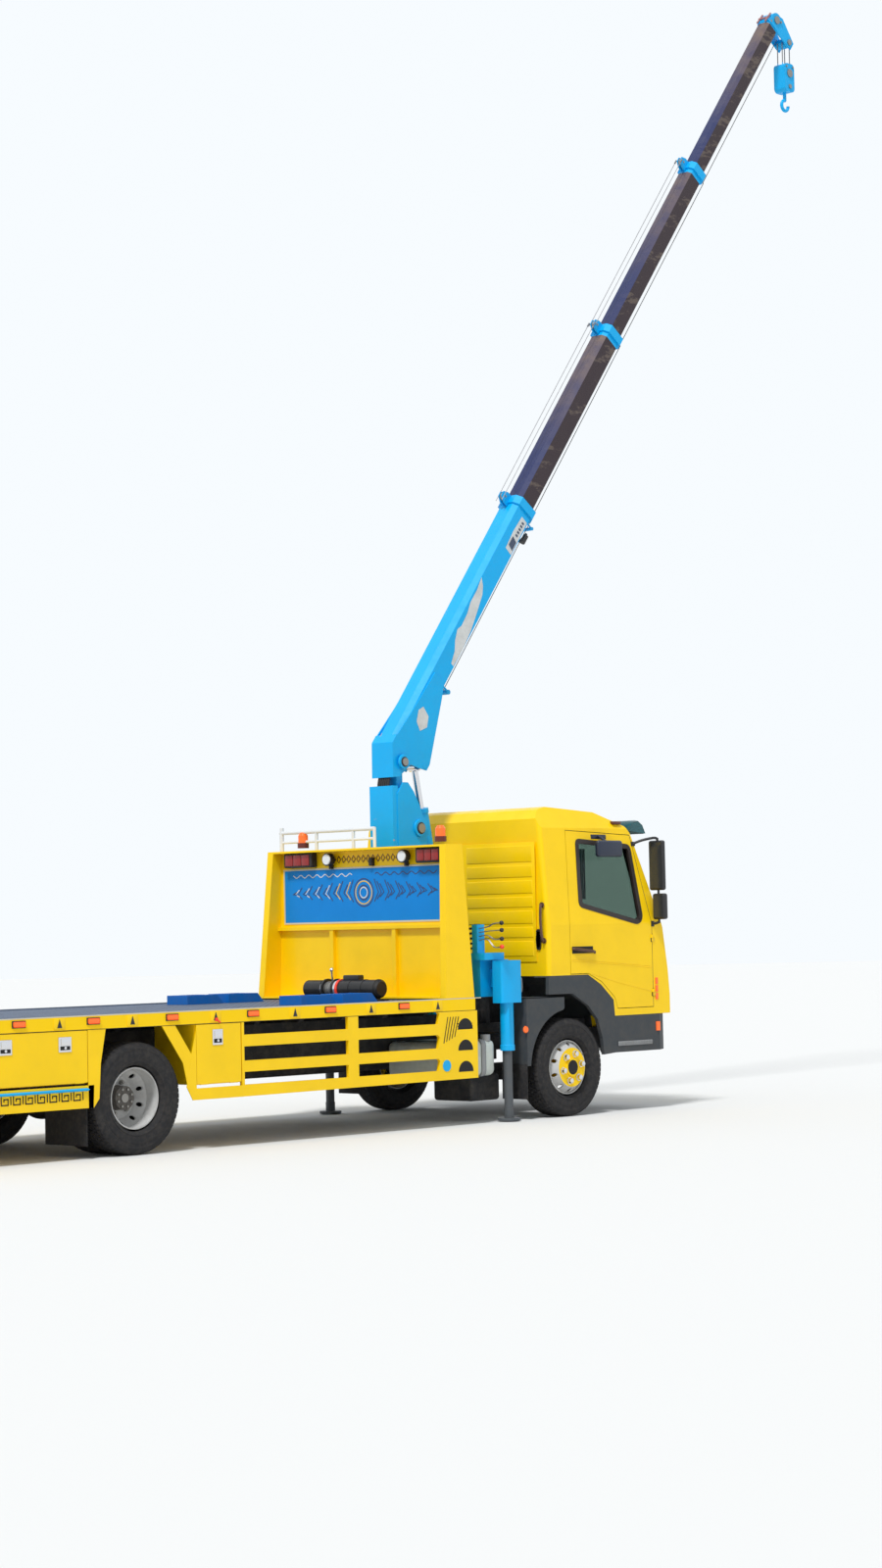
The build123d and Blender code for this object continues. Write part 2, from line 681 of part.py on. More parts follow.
def lift_barrel():
    barrel = rod_z(20, 900, 0, 0, 60) - rod_z(120, 901, 0, 0, 45)
    barrel += rod_z(860, 900, 0, 0, 66) - rod_z(850, 901, 0, 0, 30.3)
    barrel += rod_y(-56, 56, 0, 0, 48)
    barrel += rod_y(-90, 90, 0, 0, 25)
    return lift_place(barrel)


def lift_rod():
    rod = rod_z(330, lift_length - 30, 0, 0, 30) + rod_z(330, 390, 0, 0, 44.5)
    rod += rod_y(-45, 45, 0, lift_length, 46)
    rod -= rod_y(-60, 60, 0, lift_length, 32)
    return lift_place(rod)


def tip_point(along, across):
    x = pivot_x + along * math.cos(elevation) - across * math.sin(elevation)
    z = pivot_z + along * math.sin(elevation) + across * math.cos(elevation)
    return x, z


block_height = 290
reach_x = max(tip_point(boom_sections[3][2] + s, boom_axis_offset + t)[0] for s, t in head_plate)
origin_shift = -(deck_rear_x + reach_x) / 2
hook_x, hook_z = tip_point(boom_sections[3][2] - 15, boom_axis_offset - 270)
block_top = hook_z - 215


def hook_block():
    """Sheave block with the rope falls that hang it from the boom head."""
    block = box(hook_x - 78, hook_x + 78, -70, 70, block_top - block_height, block_top)
    block = fillet(block.edges().filter_by(Axis.Y), radius=45)
    for dx in (-58.3, 58.3):
        for y in (-30, 30):
            block += rod_z(block_top - 60, hook_z, hook_x + dx, y, 5)
    return block - rod_z(block_top - block_height - 5, block_top - block_height + 60, hook_x, 0, 18.05)


def hook():
    top = block_top - block_height
    shank = rod_z(top - 80, top + 55, hook_x, 0, 18)
    ring = Pos(hook_x, 0, top - 130) * Rot(90, 0, 0) * Torus(52, 17)
    ring -= box(hook_x + 5, hook_x + 100, -50, 50, top - 130, top - 50)
    return shank + ring


# Cab

cab_outline = [(-250, 1208), (-225, 2560), (-150, 2640), (-40, 2666), (563, 2625), (906, 2500), (960, 2440),
               (1270, 1600), (1330, 1230), (1350, 1010), (1350, 840), (600, 840), (585, 980), (420, 1120), (254, 1208)]


def cab_section(inset):
    roof = 2666 - inset
    y = cab_half_width - inset
    section = [(-y, 700), (y, 700), (y, 1640), (y - 95, 2480), (y - 200, roof), (-y + 200, roof), (-y + 95, 2480),
               (-y, 1640)]
    return section


def inset_outline(points, amount):
    face = make_face(Polyline(*[(x, z) for x, z in points], close=True))
    return offset(face, amount=-amount, kind=Kind.INTERSECTION)


def cab_solid(inset):
    outline = inset_outline(cab_outline, inset) if inset else make_face(
        Polyline(*[(x, z) for x, z in cab_outline], close=True))
    upright = Rot(90, 0, 0) * outline
    slab = extrude(upright, amount=cab_half_width + 10, dir=(0, 1, 0), both=True)
    return slab & end_prism(cab_section(inset), cab_rear_x - 50, 1500)


door_outline = [(door_rear_x, 1214), (door_rear_x, 1640), (100, 2462), (950, 2425), (door_front_x, 1640),
                (door_front_x, 900), (640, 900), (600, 1000), (430, 1140), (260, 1214)]
window_outline = [(186, 1804), (940, 1640), (1000, 1690), (930, 2330), (229, 2378)]


windscreen_low_z = 1665
windscreen_high_z = 2395
windscreen_half_width = 960
rear_window = (-640, 640, 1900, 2300)


def cab_shell():
    shell = cab_solid(0) - cab_solid(cab_wall)
    for side in (1, -1):
        y0, y1 = sorted((side * 1000, side * (cab_half_width + 60)))
        shell -= side_prism(door_outline, y0, y1)
    shell -= box(880, 1500, -windscreen_half_width, windscreen_half_width, windscreen_low_z, windscreen_high_z)
    shell -= box(cab_rear_x - 50, -150, *rear_window)
    for side in (1, -1):
        lug = side_box(side, cab_pivot_x - 40, cab_pivot_x + 40, cab_lug_y, cab_lug_y + 25, cab_pivot_z - 30, 845)
        shell += lug - side_rod_y(side, cab_lug_y - 5, cab_lug_y + 30, cab_pivot_x, cab_pivot_z, 15.05)
        for z in hinge_levels:
            shell -= rod_z(z + 24, z + 66, door_hinge_x, side * door_hinge_y, 15)
            shell += side_box(side, door_hinge_x, door_front_x + 24, door_hinge_y - 6, door_hinge_y + 6, z, z + 30)
            shell += rod_z(z, z + 60, door_hinge_x, side * door_hinge_y, 6)
    return shell


def cab_side_wall(inset, thickness):
    """The whole side of the cab as one leaning wall, set in from the outer skin."""
    wall = end_prism(cab_section(inset), cab_rear_x, 1400) - end_prism(cab_section(inset + thickness), cab_rear_x - 1, 1401)
    return wall & box(cab_rear_x, 1400, 900, 1200, 750, 2500)


def cab_door():
    outline = make_face(Polyline(*[(x, z) for x, z in door_outline], close=True))
    shrunk = Rot(90, 0, 0) * offset(outline, amount=-door_gap, kind=Kind.INTERSECTION)
    panel = extrude(shrunk, amount=cab_half_width + 60, dir=(0, 1, 0))
    door = (cab_side_wall(0, door_thickness) & panel) - side_prism(window_outline, 800, 1300)
    for z in hinge_levels:
        door -= rod_z(z - 6, z + 30 + seat_gap, door_hinge_x, door_hinge_y, 15)
        door += rod_z(z + 30 + seat_gap, z + 60, door_hinge_x, door_hinge_y, 11)
        door -= rod_z(z + 20, z + 62, door_hinge_x, door_hinge_y, 6.05)
    return door


def door_glass():
    return cab_side_wall(20, 6) & side_prism(window_outline, 900, 1300)


def cab_glass():
    pane = cab_solid(15) - cab_solid(21)
    front = pane & box(880, 1500, -windscreen_half_width, windscreen_half_width, windscreen_low_z,
                       windscreen_high_z)
    y0, y1, z0, z1 = rear_window
    rear = pane & box(cab_rear_x - 50, -150, y0, y1, z0, z1)
    return [front, rear]


cab_floor_z = 1253.3


def cab_interior():
    """Two seats, and the dashboard with its steering wheel and column."""
    pieces = []
    for y in (560, -560):
        cushion = box(40, 500, y - 240, y + 240, cab_floor_z, 1480)
        pieces.append(cushion + box(-80, 60, y - 230, y + 230, 1400, 2080))
    dash = side_prism([(960, 1290), (1400, 1290), (1400, 1560), (1000, 1590), (930, 1480)], -1000, 1000)
    dash &= cab_solid(cab_wall + seat_gap)
    pieces.append(dash)
    return pieces


def cab_skin(outer, inner):
    return cab_solid(-outer) - cab_solid(-inner)


def cab_grille():
    panel = cab_skin(14, 0.3) & box(1250, 1500, -760, 760, 1080, 1460)
    for z in range(1120, 1440, 40):
        panel -= box(1250, 1500, -700, 700, z, z + 18)
    return panel


flare_outer = [(-252, 1207.7), (30, 1207.7), (253.8, 1207.7), (419.8, 1119.6), (584.6, 979.7), (599.6, 839.7),
               (600, 520)]
flare_inner = [(449, 509), (430, 650), (369, 818), (250, 940), (50, 1049), (-257, 1050)]
flare_liner = [(588, 520), (588, 836), (573, 974), (412, 1109), (251, 1194), (-252, 1194)]
flare_lip = 36
flare_near_y = 980


def cab_bumper():
    """Moulded bumper with the wheel arch flares and the step below each door."""
    bumper = plan_prism([(600, -1150), (1200, -1150), (1330, -1080), (1400, -800), (1400, 800), (1330, 1080),
                         (1200, 1150), (600, 1150), (600, 1010), (1130, 1010), (1280, 940), (1325, 760),
                         (1325, -760), (1280, -940), (1130, -1010), (600, -1010)], 520, 839.7)
    for side in (1, -1):
        bumper += side_prism(flare_outer + flare_inner, *sorted((side * (cab_half_width - flare_lip), side * cab_half_width)))
        bumper += side_prism(flare_outer + flare_liner, *sorted((side * flare_near_y, side * (cab_half_width - 1))))
    return bumper


def mirrors():
    pieces = []
    for side in (1, -1):
        y0, y1 = sorted((side * 1190, side * 1370))
        arm = side_box(side, 1190, 1215, 1143.5, 1222, 1700, 1725)
        arm += plan_prism([(978, side * 1074.6), (1000, side * 1074.6), (1215, side * 1200), (1215, side * 1225),
                           (1195, side * 1225)], 2310, 2335)
        arm += rod_z(1700, 2335, 1202, side * 1215, 11)
        arm += box(1195, 1250, y0, y1, 1900, 2260) + box(1195, 1245, y0, y1, 1735, 1870)
        pieces.append(arm)
    return pieces


def sun_visor():
    """Tinted visor above the windscreen on three short stays."""
    visor = side_prism([(960, 2520), (1110, 2410), (1112, 2400), (955, 2512)], -1000, 1000)
    for y in (-800, 0, 800):
        visor += cab_skin(48, seat_gap) & box(915, 990, y - 12, y + 12, 2440, 2525)
    return visor


def cab_lamps():
    pieces = []
    for side in (1, -1):
        pieces.append(side_box(side, 1400.3, 1412, 640, 790, 620, 770))
        pieces.append(side_box(side, 1150, 1195, 1150.3, 1162, 690, 770))
    return pieces


save("frame_rails", frame_rails())
save("frame_cross_members", frame_cross_members())
save("deck", deck())
save("deck_bearers", deck_bearers())
guard = guard_panel()
save("side_skirts", both_sides(guard) + [item for panel in wheel_panel() for item in both_sides(panel)])
small_box = tool_box(small_box_rear_x, small_box_front_x, small_box_bottom_z)
rear_box = tool_box(rear_box_rear_x, rear_box_front_x, rear_box_bottom_z)
save("tool_boxes", both_sides(small_box) + both_sides(rear_box))
small_door = tool_door(small_box_rear_x, small_box_front_x, small_box_bottom_z)
rear_door = tool_door(rear_box_rear_x, rear_box_front_x, rear_box_bottom_z)
save("tool_door_small_left", small_door)
save("tool_door_small_right", other_side(small_door))
save("tool_door_rear_left", rear_door)
save("tool_door_rear_right", other_side(rear_door))
save("headboard", headboard())
save("headboard_lamps", headboard_lamps())
save("deck_winch", deck_winch())
save("wheel_chocks", wheel_chocks())
save("rear_bumper", rear_bumper())
save("mud_guards", mud_guards(1) + mud_guards(-1))
save("leaf_springs", leaf_springs())
save("engine_block", engine_block())
save("front_axle", front_axle())
save("rear_axle", rear_axle())
save("fuel_tank", fuel_tank())
save("silencer_and_battery", silencer_and_battery())
save("crane_base", crane_base())
save("lever_bank", lever_bank())
for wheel_side in (1, -1):
    front_wheel(wheel_side)
    rear_wheels(wheel_side)
    side_name = "left" if wheel_side > 0 else "right"
    save(f"knuckle_{side_name}", knuckle(wheel_side))
    save(f"outrigger_beam_{side_name}", outrigger_beam(wheel_side))
    save(f"jack_foot_{side_name}", jack_foot(wheel_side))
save("crane_column", column())
save("winch_drum", winch_drum())
save("boom_base", boom_base())
save("boom_second", slid_section(1))
save("boom_third", slid_section(2))
save("boom_tip", boom_tip())
save("lift_barrel", lift_barrel())
save("lift_rod", lift_rod())
save("hook_block", hook_block())
save("hook", hook())
save("cab_shell", cab_shell())
door = cab_door()
save("cab_door_left", door)
save("cab_door_right", other_side(door))
glass = door_glass()
save("door_glass_left", glass)
save("door_glass_right", other_side(glass))
save("cab_glass", cab_glass())
save("cab_interior", cab_interior())
save("cab_bumper", cab_bumper())
save("cab_grille", cab_grille())
save("mirrors", mirrors())
save("sun_visor", sun_visor())
save("cab_lamps", cab_lamps())
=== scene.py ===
import math

import bmesh
import bpy
from mathutils import Matrix, Vector


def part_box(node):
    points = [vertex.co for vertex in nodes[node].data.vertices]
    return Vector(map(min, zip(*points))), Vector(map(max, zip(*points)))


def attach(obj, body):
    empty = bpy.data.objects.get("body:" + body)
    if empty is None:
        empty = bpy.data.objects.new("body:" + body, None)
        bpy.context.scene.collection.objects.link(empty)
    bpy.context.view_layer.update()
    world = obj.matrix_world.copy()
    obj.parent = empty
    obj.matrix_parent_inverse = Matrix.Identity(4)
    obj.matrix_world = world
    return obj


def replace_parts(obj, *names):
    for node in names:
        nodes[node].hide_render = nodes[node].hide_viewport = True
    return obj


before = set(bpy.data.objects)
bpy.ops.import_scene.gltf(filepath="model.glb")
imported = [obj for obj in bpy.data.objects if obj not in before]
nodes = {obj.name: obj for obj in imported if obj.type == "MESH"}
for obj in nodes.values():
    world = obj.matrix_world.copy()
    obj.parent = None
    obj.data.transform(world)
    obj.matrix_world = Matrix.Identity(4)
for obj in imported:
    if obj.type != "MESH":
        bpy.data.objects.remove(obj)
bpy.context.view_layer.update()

# Pale studio floor and soft light. The floor is a plain disc, the sun stands high behind the viewer's left
# shoulder, and the sky is white to the eye but lights the truck at a plain level.
floor_radius = 90.0
floor_colour = (0.80, 0.80, 0.79, 1.0)
sky_light = 0.62
sun_strength = 2.3
sun_direction = Vector((0.62, 0.30, -0.98))


def add(tree, kind, inputs=(), **settings):
    """One shader node. Inputs map a socket's name or number to a value or to another node's socket."""
    made = tree.nodes.new("ShaderNode" + kind)
    for key, value in settings.items():
        setattr(made, key, value)
    for key, value in dict(inputs).items():
        if isinstance(value, bpy.types.NodeSocket):
            tree.links.new(value, made.inputs[key])
        else:
            made.inputs[key].default_value = value
    return made


def blank(name):
    """A new material, its node tree and its shader."""
    material = bpy.data.materials.new(name)
    material.use_nodes = True
    return material, material.node_tree, material.node_tree.nodes["Principled BSDF"]


def link(tree, source, shader, socket):
    tree.links.new(source, shader.inputs[socket])


def shown(name, form):
    """An object in the scene for a finished bmesh, which is freed."""
    mesh = bpy.data.meshes.new(name)
    form.to_mesh(mesh)
    form.free()
    piece = bpy.data.objects.new(name, mesh)
    bpy.context.scene.collection.objects.link(piece)
    return piece


form = bmesh.new()
bmesh.ops.create_circle(form, cap_ends=True, radius=floor_radius, segments=96)
floor = shown("studio_floor", form)
floor_paint, tree, shader = blank("studio_floor")
shader.inputs["Base Color"].default_value = floor_colour
shader.inputs["Roughness"].default_value = 0.9
floor.data.materials.append(floor_paint)

world = bpy.data.worlds.new("studio")
bpy.context.scene.world = world
world.use_nodes = True
tree = world.node_tree
tree.nodes.clear()
rays = add(tree, "LightPath")
seen = add(tree, "Math", {0: rays.outputs["Is Camera Ray"], 1: rays.outputs["Is Glossy Ray"]}, operation="MAXIMUM")
seen = add(tree, "Math", {0: seen.outputs[0], 1: rays.outputs["Is Transmission Ray"]}, operation="MAXIMUM")
strength = add(tree, "MapRange", {0: seen.outputs[0], 3: sky_light, 4: 1.0})
sky = add(tree, "Background", {0: (0.93, 0.97, 1.0, 1.0), 1: strength.outputs[0]})
add(tree, "OutputWorld", {0: sky.outputs[0]})

sun = bpy.data.objects.new("sun", bpy.data.lights.new("sun", "SUN"))
sun.data.energy = sun_strength
sun.data.angle = math.radians(9)
sun.rotation_mode = "QUATERNION"
sun.rotation_quaternion = sun_direction.to_track_quat("-Z", "Y")
bpy.context.scene.collection.objects.link(sun)

# The camera stands at eye height behind the truck's right rear corner, with a long lens, as the photograph was
# taken. Places are in metres from the front axle's middle, which lies ahead of the frame's origin.
front_axle_x = (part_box("rim_front_left")[0].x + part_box("rim_front_left")[1].x) / 2
camera_place = Vector((front_axle_x - 19.3534, -18.3987, 1.6499))
camera_yaw, camera_pitch, camera_roll = (math.radians(angle) for angle in (44.0517, 2.7119, -1.2232))
focal_pixels = 3069.69
photo_height = 1600

ahead = Vector((math.cos(camera_pitch) * math.cos(camera_yaw), math.cos(camera_pitch) * math.sin(camera_yaw),
                math.sin(camera_pitch)))
level_right = Vector((math.sin(camera_yaw), -math.cos(camera_yaw), 0))
level_up = level_right.cross(ahead)
right = level_right * math.cos(camera_roll) + level_up * math.sin(camera_roll)
up = level_up * math.cos(camera_roll) - level_right * math.sin(camera_roll)
camera = bpy.data.objects.new("camera", bpy.data.cameras.new("camera"))
camera.data.sensor_width = 36
camera.data.lens = camera.data.sensor_width * focal_pixels / photo_height
camera.data.clip_end = 500
camera.matrix_world = Matrix.Translation(camera_place) @ Matrix((right, up, -ahead)).transposed().to_4x4()
bpy.context.scene.collection.objects.link(camera)
bpy.context.scene.camera = camera
bpy.context.scene.view_settings.view_transform = "Standard"

# Chassis frame, axles and springs. Pressed steel under matt black chassis paint, with road dust that has
# settled on it.
frame_black = (0.022, 0.023, 0.026, 1.0)
road_dust = (0.16, 0.14, 0.12, 1.0)
edge_softness = 0.004


def painted(name, colour, dust=0.25, roughness=0.35, coat=0.4, grain=3.0, dust_colour=road_dust):
    """Paint on sheet metal: a slight drift in its colour, fine dust in patches and a faint orange peel."""
    material, tree, shader = blank(name)
    place = add(tree, "TexCoord").outputs["Object"]
    drift = add(tree, "TexNoise", {"Vector": place, "Scale": grain, "Detail": 3.0})
    level = add(tree, "MapRange", {0: drift.outputs[0], 1: 0.3, 2: 0.7, 3: 0.96, 4: 1.03})
    shade = add(tree, "VectorMath", {0: colour[:3], "Scale": level.outputs[0]}, operation="SCALE")
    patches = add(tree, "TexNoise", {"Vector": place, "Scale": grain * 2.7, "Detail": 8.0, "Roughness": 0.7})
    cover = add(tree, "MapRange", {0: patches.outputs[0], 1: 0.42, 2: 0.78, 3: 0.0, 4: dust})
    mixed = add(tree, "Mix", {0: cover.outputs[0], 6: shade.outputs[0], 7: dust_colour}, data_type="RGBA")
    link(tree, mixed.outputs[2], shader, "Base Color")
    rough = add(tree, "MapRange", {0: patches.outputs[0], 1: 0.3, 2: 0.8, 3: roughness, 4: min(1.0, roughness + 0.3)})
    link(tree, rough.outputs[0], shader, "Roughness")
    peel = add(tree, "TexNoise", {"Vector": place, "Scale": 160.0, "Detail": 2.0})
    edge = add(tree, "Bevel", {"Radius": edge_softness}, samples=4)
    bump = add(tree, "Bump", {"Strength": 0.06, "Distance": 0.002, "Height": peel.outputs[0],
                              "Normal": edge.outputs[0]})
    link(tree, bump.outputs[0], shader, "Normal")
    shader.inputs["Specular IOR Level"].default_value = 0.25
    shader.inputs["Coat Weight"].default_value = coat
    shader.inputs["Coat Roughness"].default_value = 0.12
    return material


def finish_nodes(material, *names):
    for name in names:
        nodes[name].data.materials.clear()
        nodes[name].data.materials.append(material)


chassis_paint = painted("chassis_black", frame_black, dust=0.5, roughness=0.55, coat=0.0)
finish_nodes(chassis_paint, "frame_rails", "frame_cross_members", "deck_bearers", "leaf_springs", "front_axle",
             "rear_axle", "silencer_and_battery", "knuckle_left", "knuckle_right", "rear_bumper",
             "engine_block", "deck_winch")

# Tyres. Each is the CAD tyre's section with circumferential ribs, cut into blocks on the tread, with raised
# rings on the sidewalls. The blocks end at the CAD tyre's radius, so that the wheels stand on the ground.
rubber_black = (0.020, 0.020, 0.022, 1.0)
tyre_radius = 0.421
tread_depth = 0.009
tread_blocks = 64
# Radius and place across the tyre of one half of its section, from the bead to the tread's middle
tyre_section = ((0.246, 0.085), (0.262, 0.100), (0.270, 0.114), (0.276, 0.116), (0.280, 0.113), (0.300, 0.117),
                (0.330, 0.1195), (0.336, 0.1195), (0.340, 0.117), (0.362, 0.117), (0.366, 0.1195), (0.385, 0.118),
                (0.398, 0.110), (0.4115, 0.098))
# Inner and outer edge across the tyre of each row of blocks, and its turn against the first row in block lengths
tread_rows = ((-0.104, -0.066, 0.0), (-0.058, -0.022, 0.5), (-0.015, 0.015, 0.0), (0.022, 0.058, 0.5),
              (0.066, 0.104, 0.0))
tyre_rubber = painted("tyre_rubber", rubber_black, dust=0.28, roughness=0.72, coat=0.0, grain=9.0)


def place(x, y, z):
    """A point given in metres from the ground below the front axle's middle."""
    return Vector((front_axle_x + x, y, z))


def finished(name, form, material, body, soft_angle=35):
    """A piece from a bmesh, shaded smooth across edges blunter than the angle, riding on a body."""
    bmesh.ops.recalc_face_normals(form, faces=form.faces)
    piece = shown(name, form)
    piece.data.materials.append(material)
    for face in piece.data.polygons:
        face.use_smooth = True
    piece.data.set_sharp_from_angle(angle=math.radians(soft_angle))
    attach(piece, body)
    return piece


def tyre(form, wheel_x, wheel_y):
    """One tyre round its axle line."""
    middle = place(wheel_x, wheel_y, tyre_radius)
    line = [(r, y) for r, y in tyre_section] + [(r, -y) for r, y in tyre_section[::-1]]
    verts = [form.verts.new(middle + Vector((0, y, r))) for r, y in line]
    edges = [form.edges.new((verts[i], verts[(i + 1) % len(verts)])) for i in range(len(verts))]
    bmesh.ops.spin(form, geom=verts + edges, cent=middle, axis=Vector((0, 1, 0)), angle=2 * math.pi, steps=72,
                   use_merge=True)
    for low, high, turn in tread_rows:
        for index in range(tread_blocks):
            angle = 2 * math.pi * (index + turn) / tread_blocks
            reach = 0.43 * 2 * math.pi / tread_blocks
            corners = []
            for r in (tyre_radius - tread_depth - 0.006, tyre_radius - 0.0005):
                drop = 0.006 if abs(low + high) > 0.1 and r > tyre_radius - 0.001 else 0.0
                for y, outer in ((low, low < -0.1), (high, high > 0.1)):
                    for side in (-1, 1):
                        far = r - drop if outer else r
                        corners.append(form.verts.new(middle + Vector((far * math.sin(angle + side * reach), y,
                                                                       far * math.cos(angle + side * reach)))))
            for a, b, c, d in ((4, 5, 7, 6), (0, 1, 5, 4), (1, 3, 7, 5), (3, 2, 6, 7), (2, 0, 4, 6)):
                form.faces.new([corners[i] for i in (a, b, c, d)])


rear_axle_x = -4.82
for body, node, wheel_x, wheel_ys in (("front_wheel_left", "tyre_front_left", 0.0, (1.03,)),
                                      ("front_wheel_right", "tyre_front_right", 0.0, (-1.03,)),
                                      ("rear_wheels_left", "tyre_rear_left", rear_axle_x, (1.018, 0.746)),
                                      ("rear_wheels_right", "tyre_rear_right", rear_axle_x, (-1.018, -0.746))):
    form = bmesh.new()
    for wheel_y in wheel_ys:
        tyre(form, wheel_x, wheel_y)
    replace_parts(finished(f"tread_{node}", form, tyre_rubber, body, 30), node)

# Wheels. Silver discs, the front ones with a yellow centre, six chromed nut caps and a dark middle; the rear ones
# have plain nuts round the hub, and a valve sits in each front rim.
wheel_silver_colour = (0.56, 0.56, 0.55, 1.0)
yellow_disc_radius = 0.167
nut_circle_radius = 0.12
body_yellow = (1.0, 0.645, 0.0, 1.0)


def opened(material, name=None):
    """A material, or a named copy of it, with its tree, its shader, its own colour and the shaded point's place."""
    if name:
        material = material.copy()
        material.name = name
    tree = material.node_tree
    shader = tree.nodes["Principled BSDF"]
    colour = shader.inputs["Base Color"]
    own = colour.links[0].from_socket if colour.links else colour.default_value[:]
    return material, tree, shader, own, add(tree, "TexCoord").outputs["Object"]


def masked(tree, shader, mask, own, other):
    """The other colour where the mask is 1."""
    mixed = add(tree, "Mix", {0: mask.outputs[0], 6: own, 7: other}, data_type="RGBA")
    link(tree, mixed.outputs[2], shader, "Base Color")


def ringed(name, wheel_x, inner_colour, inner_radius, outer_colour, dust):
    """Paint in two colours parted by the distance from a wheel's axle line."""
    material, tree, shader, own, spot = opened(painted(name, outer_colour, dust=dust, roughness=0.38, coat=0.1))
    centre = place(wheel_x, 0, tyre_radius)
    flat = add(tree, "VectorMath", {0: spot, 1: (1, 0, 1)}, operation="MULTIPLY")
    away = add(tree, "VectorMath", {0: flat.outputs[0], 1: (centre.x, 0, centre.z)}, operation="DISTANCE")
    inside = add(tree, "Math", {0: away.outputs["Value"], 1: inner_radius}, operation="LESS_THAN")
    masked(tree, shader, inside, own, inner_colour)
    return material


def rod(form, start, end, radius, sides=16, end_radius=None):
    """A round bar between two points from the front axle, or a cone where its end radius is given."""
    start, end = place(*start), place(*end)
    along = end - start
    turn = along.to_track_quat("Z", "Y").to_matrix().to_4x4()
    bmesh.ops.create_cone(form, cap_ends=True, segments=sides, radius1=radius,
                          radius2=radius if end_radius is None else end_radius, depth=along.length,
                          matrix=Matrix.Translation((start + end) / 2) @ turn)


def pin(form, x, y0, y1, z, radius, sides=16, end_radius=None):
    """A rod that lies across the truck."""
    rod(form, (x, y0, z), (x, y1, z), radius, sides, end_radius)


front_wheel_paint = ringed("front_wheel_paint", 0.0, body_yellow, yellow_disc_radius, wheel_silver_colour, 0.3)
rear_wheel_paint = ringed("rear_wheel_paint", rear_axle_x, (0.10, 0.09, 0.08, 1.0), 0.094, wheel_silver_colour, 0.45)
finish_nodes(front_wheel_paint, "rim_front_left", "rim_front_right")
finish_nodes(rear_wheel_paint, "rim_rear_left", "rim_rear_right")


def tinted(name, colour, roughness=0.4, metallic=0.0, glow=0.0):
    """A plain even finish."""
    material, tree, shader = blank(name)
    shader.inputs["Base Color"].default_value = colour
    shader.inputs["Roughness"].default_value = roughness
    shader.inputs["Metallic"].default_value = metallic
    if glow:
        shader.inputs["Emission Color"].default_value = colour
        shader.inputs["Emission Strength"].default_value = glow
    return material


chrome = tinted("chrome", (0.72, 0.72, 0.74, 1.0), 0.18, 1.0)
dull_steel = tinted("dull_steel", (0.30, 0.29, 0.27, 1.0), 0.45, 0.8)
# A near-black for seams, and as painted shade in holes, openings and recesses
seam_dark_and_painted_shade = tinted("seam_dark_and_painted_shade", (0.006, 0.006, 0.007, 1.0), 0.8)
rubber = tinted("seal_rubber", (0.016, 0.014, 0.014, 1.0), 0.6)

for side, word in ((1, "left"), (-1, "right")):
    caps, nuts, hub = bmesh.new(), bmesh.new(), bmesh.new()
    for index in range(6):
        angle = math.radians(60 * index + 12)
        x, z = nut_circle_radius * math.cos(angle), tyre_radius + nut_circle_radius * math.sin(angle)
        pin(caps, x, side * 1.165, side * 1.172, z, 0.030)
        pin(caps, x, side * 1.172, side * 1.198, z, 0.025, end_radius=0.022)
        pin(caps, x, side * 1.198, side * 1.206, z, 0.022, end_radius=0.010)
        pin(nuts, rear_axle_x + x, side * 0.885, side * 0.915, z, 0.019, 6)
        pin(nuts, rear_axle_x + x, side * 0.915, side * 0.93, z, 0.010, 12)
    for index in range(8):
        angle = math.radians(45 * index + 20)
        x, z = 0.068 * math.cos(angle), tyre_radius + 0.068 * math.sin(angle)
        pin(hub, rear_axle_x + x, side * 0.978, side * 0.992, z, 0.010, 6)
    pin(hub, rear_axle_x, side * 0.975, side * 0.988, tyre_radius, 0.034, 24)
    finished(f"nut_caps_{word}", caps, chrome, f"front_wheel_{word}", 50)
    finished(f"rear_nuts_{word}", nuts, dull_steel, f"rear_wheels_{word}", 40)
    finished(f"rear_hub_bolts_{word}", hub, dull_steel, f"rear_wheels_{word}", 40)
    dark, rings = bmesh.new(), bmesh.new()
    # The dark middle is painted shade in the hub's hole
    pin(dark, 0, side * 1.1775, side * 1.180, tyre_radius, 0.062, 32)
    pin(dark, 0, side * 1.138, side * 1.146, tyre_radius, 0.03, 24, 0.024)
    finished(f"hub_middle_{word}", dark, seam_dark_and_painted_shade, f"front_wheel_{word}", 40)
    rod(rings, (0.16, side * 1.145, tyre_radius + 0.10), (0.175, side * 1.155, tyre_radius + 0.11), 0.005, 8)
    rod(rings, (0.175, side * 1.155, tyre_radius + 0.11), (0.186, side * 1.175, tyre_radius + 0.118), 0.004, 8)
    finished(f"valve_{word}", rings, rubber, f"front_wheel_{word}", 40)

# Deck, its side rails and the wheel chocks. The floor is grey-blue sheet with rows of punched holes; outside of it
# the same mesh is the yellow side rail, with a pale line along the rail's foot.
deck_grey = (0.10, 0.14, 0.22, 1.0)
rail_inner_y = 1.091
hole_pitch = 0.06
yellow_paint = painted("body_yellow", body_yellow, dust=0.05, roughness=0.28, coat=0.12)
deck_paint, tree, shader, own, spot = opened(painted("deck_grey", deck_grey, dust=0.35, roughness=0.5, coat=0.0))
parted = add(tree, "SeparateXYZ", {0: spot})
reach = add(tree, "Math", {0: parted.outputs[1]}, operation="ABSOLUTE")
outside = add(tree, "Math", {0: reach.outputs[0], 1: rail_inner_y}, operation="GREATER_THAN")
# The punched holes are painted near-black: painted shade seen through them
repeat = add(tree, "VectorMath", {0: spot, 1: (hole_pitch, hole_pitch, 10)}, operation="MODULO")
repeat = add(tree, "VectorMath", {0: repeat.outputs[0]}, operation="ABSOLUTE")
repeat = add(tree, "VectorMath", {0: repeat.outputs[0], 1: (1, 1, 0)}, operation="MULTIPLY")
away = add(tree, "VectorMath", {0: repeat.outputs[0], 1: (hole_pitch / 2, hole_pitch / 2, 0)}, operation="DISTANCE")
